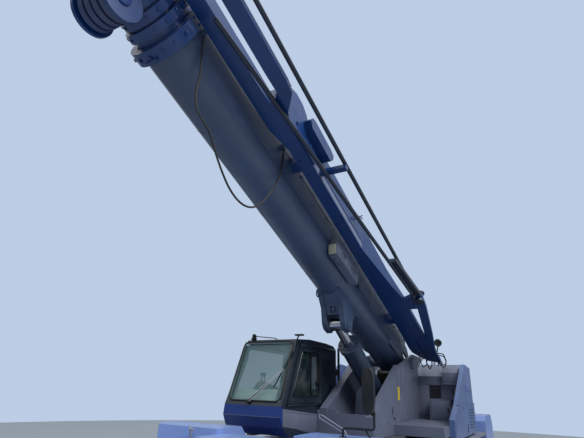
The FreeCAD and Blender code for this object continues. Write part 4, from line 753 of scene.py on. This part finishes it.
# Black slabs between the louvre blades: painted shade in the louvre gaps.
slots = Piece("cover_slots", "turntable", "cover_blue", material=HOLE_SHADE_AND_JOINT_BLACK)
handles = Piece("cover_handles", "turntable", "mirror_black")
for sign in (1, -1):
    def side_slab(points, low, high, bevel=0.002, piece=cover_kit):
        one, two = sorted((low * sign, high * sign))
        piece.slab(points, "XZ", one, two, bevel)
    side_slab(((-2.35, 2.140), (-0.795, 2.140), (-0.78, 2.155), (-2.35, 2.155)), 1.30, 1.341)
    side_slab(((-2.26, 2.52), (-1.72, 2.50), (-1.72, 2.36), (-2.26, 2.36)), 1.318, 1.330, 0.006)
    side_slab(((-0.60, 1.70), (-0.45, 1.70), (-0.45, 1.93), (-0.60, 1.99)), 1.334, 1.340, 0.002)
    for i in range(7):
        z = 1.74 + 0.05 * i
        side_slab(((-2.20, z), (-1.75, z), (-1.75, z + 0.016), (-2.20, z + 0.016)), 1.3335, 1.3365, 0, slots)
        side_slab(((-2.205, z + 0.014), (-1.745, z + 0.014), (-1.745, z + 0.022), (-2.205, z + 0.022)), 1.334, 1.346, 0.001)
    side_slab(((-1.545, 1.82), (-1.525, 1.82), (-1.452, 1.68), (-1.472, 1.68)), 1.333, 1.345, 0.004, handles)
    for x in (-2.1, -1.3):
        cover_kit.lathe(((0, 0), (0.014, 0), (0.014, 0.09), (0, 0.09)), (x, 1.336 * sign, 2.10), (1, 0, 0), 12)
for thing in (cover_kit, slots, handles):
    thing.done()

# Winches: rope on the drums, gear covers and bolts
turns = Piece("rope_turns", "turntable", "winch_steel", material=metal("rope_steel", (0.19, 0.185, 0.18), 0.5, 60))
for x, z, radius in ((-1.56, 2.19, 0.19), (-1.39, 2.56, 0.13)):
    wire = 0.009
    profile = [(radius - 0.003, -0.208)]
    for i in range(27):
        y = -0.20 + 0.018 * i
        profile += [(radius + 0.003, y), (radius + wire + 0.005, y + 0.009)]
    profile += [(radius + 0.003, 0.286), (radius - 0.003, 0.288)]
    turns.lathe(profile + [profile[0]], (x, 0.0, z), (0, 1, 0), 40)
turns.done(60)
gear = Piece("winch_fittings", "turntable", "winch_steel")
for x, z, radius in ((-1.56, 2.19, 0.15), (-1.39, 2.56, 0.09)):
    gear.lathe(((0, 0), (radius, 0), (radius, 0.02), (radius - 0.02, 0.05), (0, 0.05)), (x, 0.33, z), (0, 1, 0), 32)
    gear.bolts(around((x, 0.38, z), radius - 0.04, 8), (0, 1, 0), 0.009, 0.008)
    gear.bolts(around((x, -0.25, z), radius - 0.02, 8), (0, -1, 0), 0.010, 0.009)
gear.done()

# Grab loop and bars on the front fenders
loop = Piece("fender_loop", "carrier", "bare_steel", material=painted("loop_paint", (0.24, 0.25, 0.31), 0.4, 0.2))
loop.tube([(3.0, 0.915, 1.951), (3.0, 0.895, 1.970), (3.0, 0.632, 2.090), (3.0, 0.615, 2.125), (3.0, 0.660, 2.120),
           (3.0, 0.905, 1.998), (3.0, 0.935, 1.951)], 0.0065, 10, 0.03)
loop.tube([(3.46, -0.73, 1.84), (3.50, -0.72, 1.965), (3.80, -0.45, 1.965), (3.80, -0.40, 1.965)], 0.012, 10, 0.05)
loop.done()

# Boom: cheek of the foot, collar and ring blocks, seams, box lid and lug fittings
# Lighter paint standing for the jib's sky-lit side face: a painted highlight, not its own colour.
JIB_PAINTED_HIGHLIGHT = painted("jib_painted_highlight_paint", (0.10, 0.13, 0.23), 0.34, 0.25, coat=0.3)
BOX_FACE = painted("box_face", (0.36, 0.36, 0.27), 0.6, 0.5, coat=0)

cheek = Piece("foot_cheek", "boom_base", "lavender", BOOM)
cheek.slab(((0.04, 0.50), (0.02, 0.356), (-0.10, 0.335), (-0.19, 0.285), (-0.235, 0.21), (-0.21, 0.15), (0.10, 0.16),
            (0.42, -0.03), (0.92, -0.04), (0.92, 0.45), (0.72, 0.47), (0.40, 0.51)), "XZ", 0.249, 0.286, 0.012)
cheek.bolts([(x, 0.286, z) for x, z in ((0.85, 0.05), (0.85, 0.38), (0.45, 0.44), (0.10, 0.42))], (0, 1, 0), 0.014, 0.012)
cheek.done()

# Columns: head end along the boom, half width, top.
RINGS = ((7.28, 0.264, 0.434), (7.392, 0.238, 0.408), (7.504, 0.212, 0.382))
fits = Piece("collar_fittings", "boom_base", "navy", BOOM)
low_mid = 0.03
for i in range(7):
    a = math.radians(-160 + 23.3 * i)
    radius = 0.362
    place = (7.06, radius * math.cos(a), low_mid + radius * math.sin(a))
    fits.bolts([place], (0, math.cos(a), math.sin(a)), 0.017, 0.014)
for y in (-0.36, 0.362):
    fits.bolts([(6.995 + 0.13 * k, y, z) for k in (0.2, 0.8) for z in (0.12, 0.24)], (0, 1 if y > 0 else -1, 0), 0.013, 0.01)
fits.tube([(7.03, -0.06, -0.335), (7.03, -0.06, -0.385), (7.03, 0.06, -0.385), (7.03, 0.06, -0.335)], 0.011, 10, 0.03)
fits.done()
for index, (end, half, top) in enumerate(RINGS):
    pads = Piece("ring_pads_%d" % (index + 2), "boom_section_%d" % (index + 2), "navy", BOOM)
    out = half + 0.034
    for z in (0.06, 0.20, 0.34):
        for sign in (1, -1):
            low, high = sorted((sign * (out - 0.004), sign * (out + 0.012)))
            pads.block((end - 0.075, low, z - 0.035), (end - 0.015, high, z + 0.035), 0.004)
            pads.bolts([(end - 0.045, sign * (out + 0.012), z + dz) for dz in (-0.018, 0.018)], (0, sign, 0), 0.007, 0.006)
    for turn in (-150, -120, -60, -30):
        a = math.radians(turn)
        here = Vector((end - 0.045, (out + 0.002) * math.cos(a), low_mid + (out + 0.002) * math.sin(a)))
        pads.bolts([here], (0, math.cos(a), math.sin(a)), 0.014, 0.010)
    for y in (-0.5 * half, 0.5 * half):
        pads.block((end - 0.075, y - 0.05, top + 0.028), (end - 0.015, y + 0.05, top + 0.046), 0.004)
    pads.done()

skin = Piece("boom_seams", "boom_base", "lavender", BOOM, BOOM_PAINT)
for sign in (1, -1):
    low, high = sorted((sign * 0.289, sign * 0.2945))
    skin.block((0.95, low, 0.024), (6.98, high, 0.036), 0.002)
for s in (1.9, 3.3, 4.7, 6.1):
    ring = [(0.2895 * math.cos(a), 0.03 + 0.2895 * math.sin(a)) for a in (math.pi + math.pi * i / 24 for i in range(25))]
    wide = [(0.2925 * math.cos(a), 0.03 + 0.2925 * math.sin(a)) for a in (2 * math.pi - math.pi * i / 24 for i in range(25))]
    if s > 3:
        skin.slab(ring + wide, "YZ", s - 0.005, s + 0.005, 0)
skin.block((2.02, 0.299, 0.10), (5.14, 0.3025, 0.108), 0.001)
skin.block((3.75, 0.299, 0.34), (5.18, 0.3045, 0.35), 0.001)
skin.done()

lid = Piece("side_box_face", "boom_base", "lavender", BOOM, BOX_FACE)
lid.slab(((3.641, -0.119), (3.652, -0.124), (3.711, -0.003), (3.700, 0.001)), "XZ", 0.304, 0.416, 0.002)
lid.done()
lid = Piece("side_box_lid", "boom_base", "lavender", BOOM)
lid.slab(((2.86, -0.085), (3.62, -0.105), (3.675, 0.0), (3.605, 0.165), (2.86, 0.185)), "XZ", 0.419, 0.426, 0.003)
for x in (3.0, 3.45):
    lid.lathe(((0, 0), (0.011, 0), (0.011, 0.09), (0, 0.09)), (x - 0.045, 0.428, 0.17), (1, 0, 0), 12)
lid.slab(((3.30, -0.11), (3.62, -0.119), (3.62, -0.135), (3.30, -0.126)), "XZ", 0.32, 0.40, 0.003)
lid.done()
pulls = Piece("side_box_pulls", "boom_base", "rod_navy", BOOM)
for x in (3.02, 3.40):
    pulls.tube([(x, 0.425, -0.02), (x, 0.455, -0.02), (x + 0.11, 0.455, -0.02), (x + 0.11, 0.425, -0.02)], 0.006, 8, 0.02)
pulls.tube([(3.56, 0.36, -0.12), (3.58, 0.36, -0.165), (3.50, 0.39, -0.19), (3.38, 0.41, -0.15)], 0.006, 8, 0.03)
pulls.tube([(2.84, 0.38, 0.06), (2.76, 0.38, 0.04), (2.66, 0.345, 0.03), (2.50, 0.305, 0.04)], 0.010, 8, 0.05)
pulls.done()

lug = Piece("lug_fittings", "boom_base", "lavender", BOOM, BOOM_PAINT)
for sign in (1, -1):
    lug.bolts(around((2.45, 0.208 * sign, -0.54), 0.07, 6), (0, sign, 0), 0.012, 0.010)
    lug.lathe(((0, 0), (0.042, 0), (0.042, 0.008), (0.034, 0.014), (0, 0.014)), (2.45, 0.208 * sign, -0.54), (0, sign, 0), 24)
lug.slab(((2.66, -0.46), (2.72, -0.47), (2.76, -0.43), (2.74, -0.385), (2.68, -0.40)), "XZ", -0.04, -0.015, 0.004)
lug.slab(((2.66, -0.46), (2.72, -0.47), (2.76, -0.43), (2.74, -0.385), (2.68, -0.40)), "XZ", 0.015, 0.04, 0.004)
lug.bar((2.715, -0.05, -0.435), (2.715, 0.05, -0.435), 0.014, 12)
lug.tube([(2.90, -0.16, -0.262), (2.92, -0.16, -0.33), (2.98, -0.16, -0.33), (3.0, -0.16, -0.252)], 0.010, 8, 0.03)
lug.done()

# Jib: painted highlight strip along its foot (lighter paint for its sky-lit side face), end caps, pins, clips, chain,
# hooks and hoses
strip = Piece("jib_painted_highlight_strip", "boom_base", "navy", BOOM, JIB_PAINTED_HIGHLIGHT)
strip.slab(((0.95, 0.186), (4.98, 0.186), (4.98, 0.262), (3.36, 0.262), (0.95, 0.225)), "XZ", 0.6295, 0.6335, 0.001)
strip.slab(((3.40, 0.30), (4.76, 0.30), (4.76, 0.312), (3.40, 0.312)), "XZ", 0.6295, 0.637, 0.001)
strip.done()
bits = Piece("jib_fittings", "boom_base", "navy", BOOM)
bits.block((5.935, 0.47, 0.205), (5.956, 0.61, 0.48), 0.004)
for s in (0.2, 1.1, 2.1, 3.0, 3.9):
    bits.block((s - 0.02, 0.448, 0.176), (s + 0.02, 0.632, 0.182), 0.001)
for place in ((5.2, 0.66, 0.30), (5.55, 0.66, 0.32), (5.85, 0.66, 0.28), (5.4, 0.66, 0.52)):
    bits.bolts([place], (0, 1, 0), 0.020, 0.016)
for s in (7.78, 7.60):
    for low, high in ((0.338, 0.522), (0.668, 0.842)):
        bits.bar((s, low - 0.012, 0.25), (s, high + 0.012, 0.25), 0.020, 14)
bits.tube([(4.44, 0.60, 0.558), (4.44, 0.60, 0.66), (4.44, 0.56, 0.66), (4.44, 0.64, 0.66)], 0.007, 8)
bits.tube([(3.72, 0.63, 0.40), (3.72, 0.68, 0.42), (3.66, 0.72, 0.47), (3.60, 0.71, 0.50)], 0.008, 8, 0.03)
bits.tube([(3.78, 0.63, 0.38), (3.78, 0.69, 0.40), (3.72, 0.735, 0.44), (3.68, 0.74, 0.49)], 0.008, 8, 0.03)
bits.block((4.80, 0.62, 0.272), (4.83, 0.99, 0.282), 0.003)
for s in (1.06, 1.32, 4.86, 5.10):
    bits.bolts([(s, y, 0.176) for y in (0.40, 0.50)], (0, 0, -1), 0.014, 0.012)
bits.tube([(-0.40, 0.80, 0.30), (-0.52, 0.80, 0.26), (-0.56, 0.78, 0.19)], 0.014, 10, 0.05)
bits.tube([(-0.40, 0.70, 0.42), (-0.50, 0.70, 0.40), (-0.55, 0.70, 0.34)], 0.014, 10, 0.05)
bits.done()
hoses = Piece("jib_hoses", "boom_base", "hose_black", BOOM)
hoses.tube([(-0.30, 0.82, 0.34), (-0.48, 0.90, 0.40), (-0.62, 0.93, 0.30), (-0.58, 0.90, 0.16), (-0.40, 0.86, 0.14), (-0.28, 0.84, 0.20)],
           0.011, 10, 0.10)
hoses.tube([(-0.26, 0.83, 0.28), (-0.42, 0.93, 0.32), (-0.52, 0.95, 0.22), (-0.42, 0.90, 0.15), (-0.30, 0.85, 0.18)], 0.009, 10, 0.08)
hoses.tube([(0.10, 0.70, 0.185), (-0.10, 0.68, 0.04), (-0.34, 0.68, 0.02), (-0.42, 0.70, 0.14), (-0.38, 0.70, 0.24)], 0.011, 10, 0.10)
hoses.tube([(0.24, 0.62, 0.155), (0.06, 0.60, 0.0), (-0.16, 0.60, -0.02), (-0.30, 0.62, 0.08), (-0.28, 0.64, 0.20)], 0.009, 10, 0.10)
hoses.done()
links = Piece("strut_chain", "boom_base", "rod_navy", BOOM)
strut_end = Vector((2.02, 1.06, 0.30))
chain_end = Vector((0.45, 0.88, 0.30))
for i in range(34):
    one = strut_end.lerp(chain_end, i / 34)
    two = strut_end.lerp(chain_end, (i + 1.25) / 34)
    wide = Vector((0, 0, 0.012)) if i % 2 else Vector((0, 0.012, 0))
    links.tube([one + wide, two + wide, two - wide, one - wide, one + wide], 0.0045, 6)
for place in (strut_end, chain_end):
    links.block(place - Vector((0.02, 0.02, 0.07)), place + Vector((0.02, 0.02, 0.015)), 0.004)
links.lathe(((0, 0), (0.085, 0), (0.085, 0.012), (0.05, 0.02), (0, 0.02)), (1.90, 1.075, 0.28), (0, 0, 1), 28)
links.lathe(((0, 0), (0.085, 0), (0.085, 0.012), (0.05, 0.02), (0, 0.02)), (1.90, 1.075, 0.13), (0, 0, -1), 28)
for along, across, up in ((2.03, 1.020, 0.30), (7.70, 0.918, 0.30), (2.02, 1.030, 0.15)):
    links.lathe(((0, 0), (0.034, 0), (0.034, 0.07), (0, 0.07)), (along, across, up), (1, -0.02, 0), 8)
links.done()
work = Piece("strut_lamp", "boom_base", "mirror_black", BOOM)
work.bar((-0.05, 0.885, 0.24), (-0.05, 0.90, 0.36), 0.012, 10)
work.lathe(((0, 0), (0.05, 0), (0.07, 0.03), (0.07, 0.07), (0.06, 0.075), (0, 0.06)), (-0.05, 0.90, 0.42), (0.9, 0.2, -0.4), 20)
work.lathe(((0, 0), (0.022, 0), (0.022, 0.05), (0, 0.05)), (-0.05, 0.90, 0.35), (0, 0, 1), 12)
work.done()

# Boom head: sheave rims, guards and bolts
head = Piece("head_fittings", "boom_section_5", "navy", BOOM)
for along, up in ((7.60, -0.375), (8.136, 0.12)):
    for sign in (1, -1):
        head.lathe(((0, 0), (0.075, 0), (0.075, 0.012), (0.055, 0.022), (0, 0.022)), (along, 0.2 * sign, up), (0, sign, 0), 28)
        head.bolts(around((along, 0.2 * sign + 0.012 * sign, up), 0.062, 6), (0, sign, 0), 0.007, 0.006)
for along, up in ((7.72, -0.30), (7.95, -0.12), (8.20, -0.08)):
    head.bar((along, -0.186, up + 0.12), (along, 0.186, up + 0.12), 0.014, 12)
head.done()
rims = Piece("sheave_rims", "boom_section_5", "sheave_plastic", BOOM)
for along, up in ((7.60, -0.375), (8.136, 0.12)):
    for i in range(4):
        y = -0.146 + 0.08 * i
        rims.lathe(((0.169, 0.004), (0.182, 0.0), (0.184, 0.006), (0.172, 0.020), (0.172, 0.032), (0.184, 0.046),
                    (0.182, 0.052), (0.169, 0.048), (0.169, 0.004)), (along, y, up), (0, 1, 0), 40)
rims.done()

# Lift cylinder: gland bolts, pipe with clamps and ports
ram = Piece("ram_fittings", "lift_cylinder", "ram_grey", RAM)
for i in range(10):
    a = 2 * math.pi * i / 10 + 0.2
    ram.bolts([(2.0, 0.137 * math.cos(a), 0.137 * math.sin(a))], (1, 0, 0), 0.012, 0.012)
ram.tube([(0.45, 0.0, 0.155), (0.45, 0.0, 0.195), (1.86, 0.0, 0.195), (1.90, 0.0, 0.175)], 0.014, 10, 0.03)
for s in (0.8, 1.3, 1.75):
    ram.block((s - 0.02, -0.03, 0.15), (s + 0.02, 0.03, 0.215), 0.004)
ram.block((0.38, -0.05, 0.14), (0.50, 0.05, 0.205), 0.006)
ram.lathe(((0.085, 0), (0.118, 0), (0.118, 0.012), (0.10, 0.018), (0.085, 0.018), (0.085, 0)), (1.999, 0, 0), (1, 0, 0), 32)
ram.done()

# DETAILS

# Floor
mesh = bpy.data.meshes.new("floor")
work = bmesh.new()
bmesh.ops.create_circle(work, cap_ends=True, segments=64, radius=26)
work.to_mesh(mesh)
floor = bpy.data.objects.new("floor", mesh)
bpy.context.scene.collection.objects.link(floor)
ground, ground_tree, ground_shader = new_material("floor")
ground_tree.links.new(mix_colour(ground_tree, FLOOR, tuple(c * 0.9 for c in FLOOR), noise(ground_tree, 0.6, 4)),
                      ground_shader.inputs["Base Color"])
ground_shader.inputs["Roughness"].default_value = 0.9
mesh.materials.append(ground)
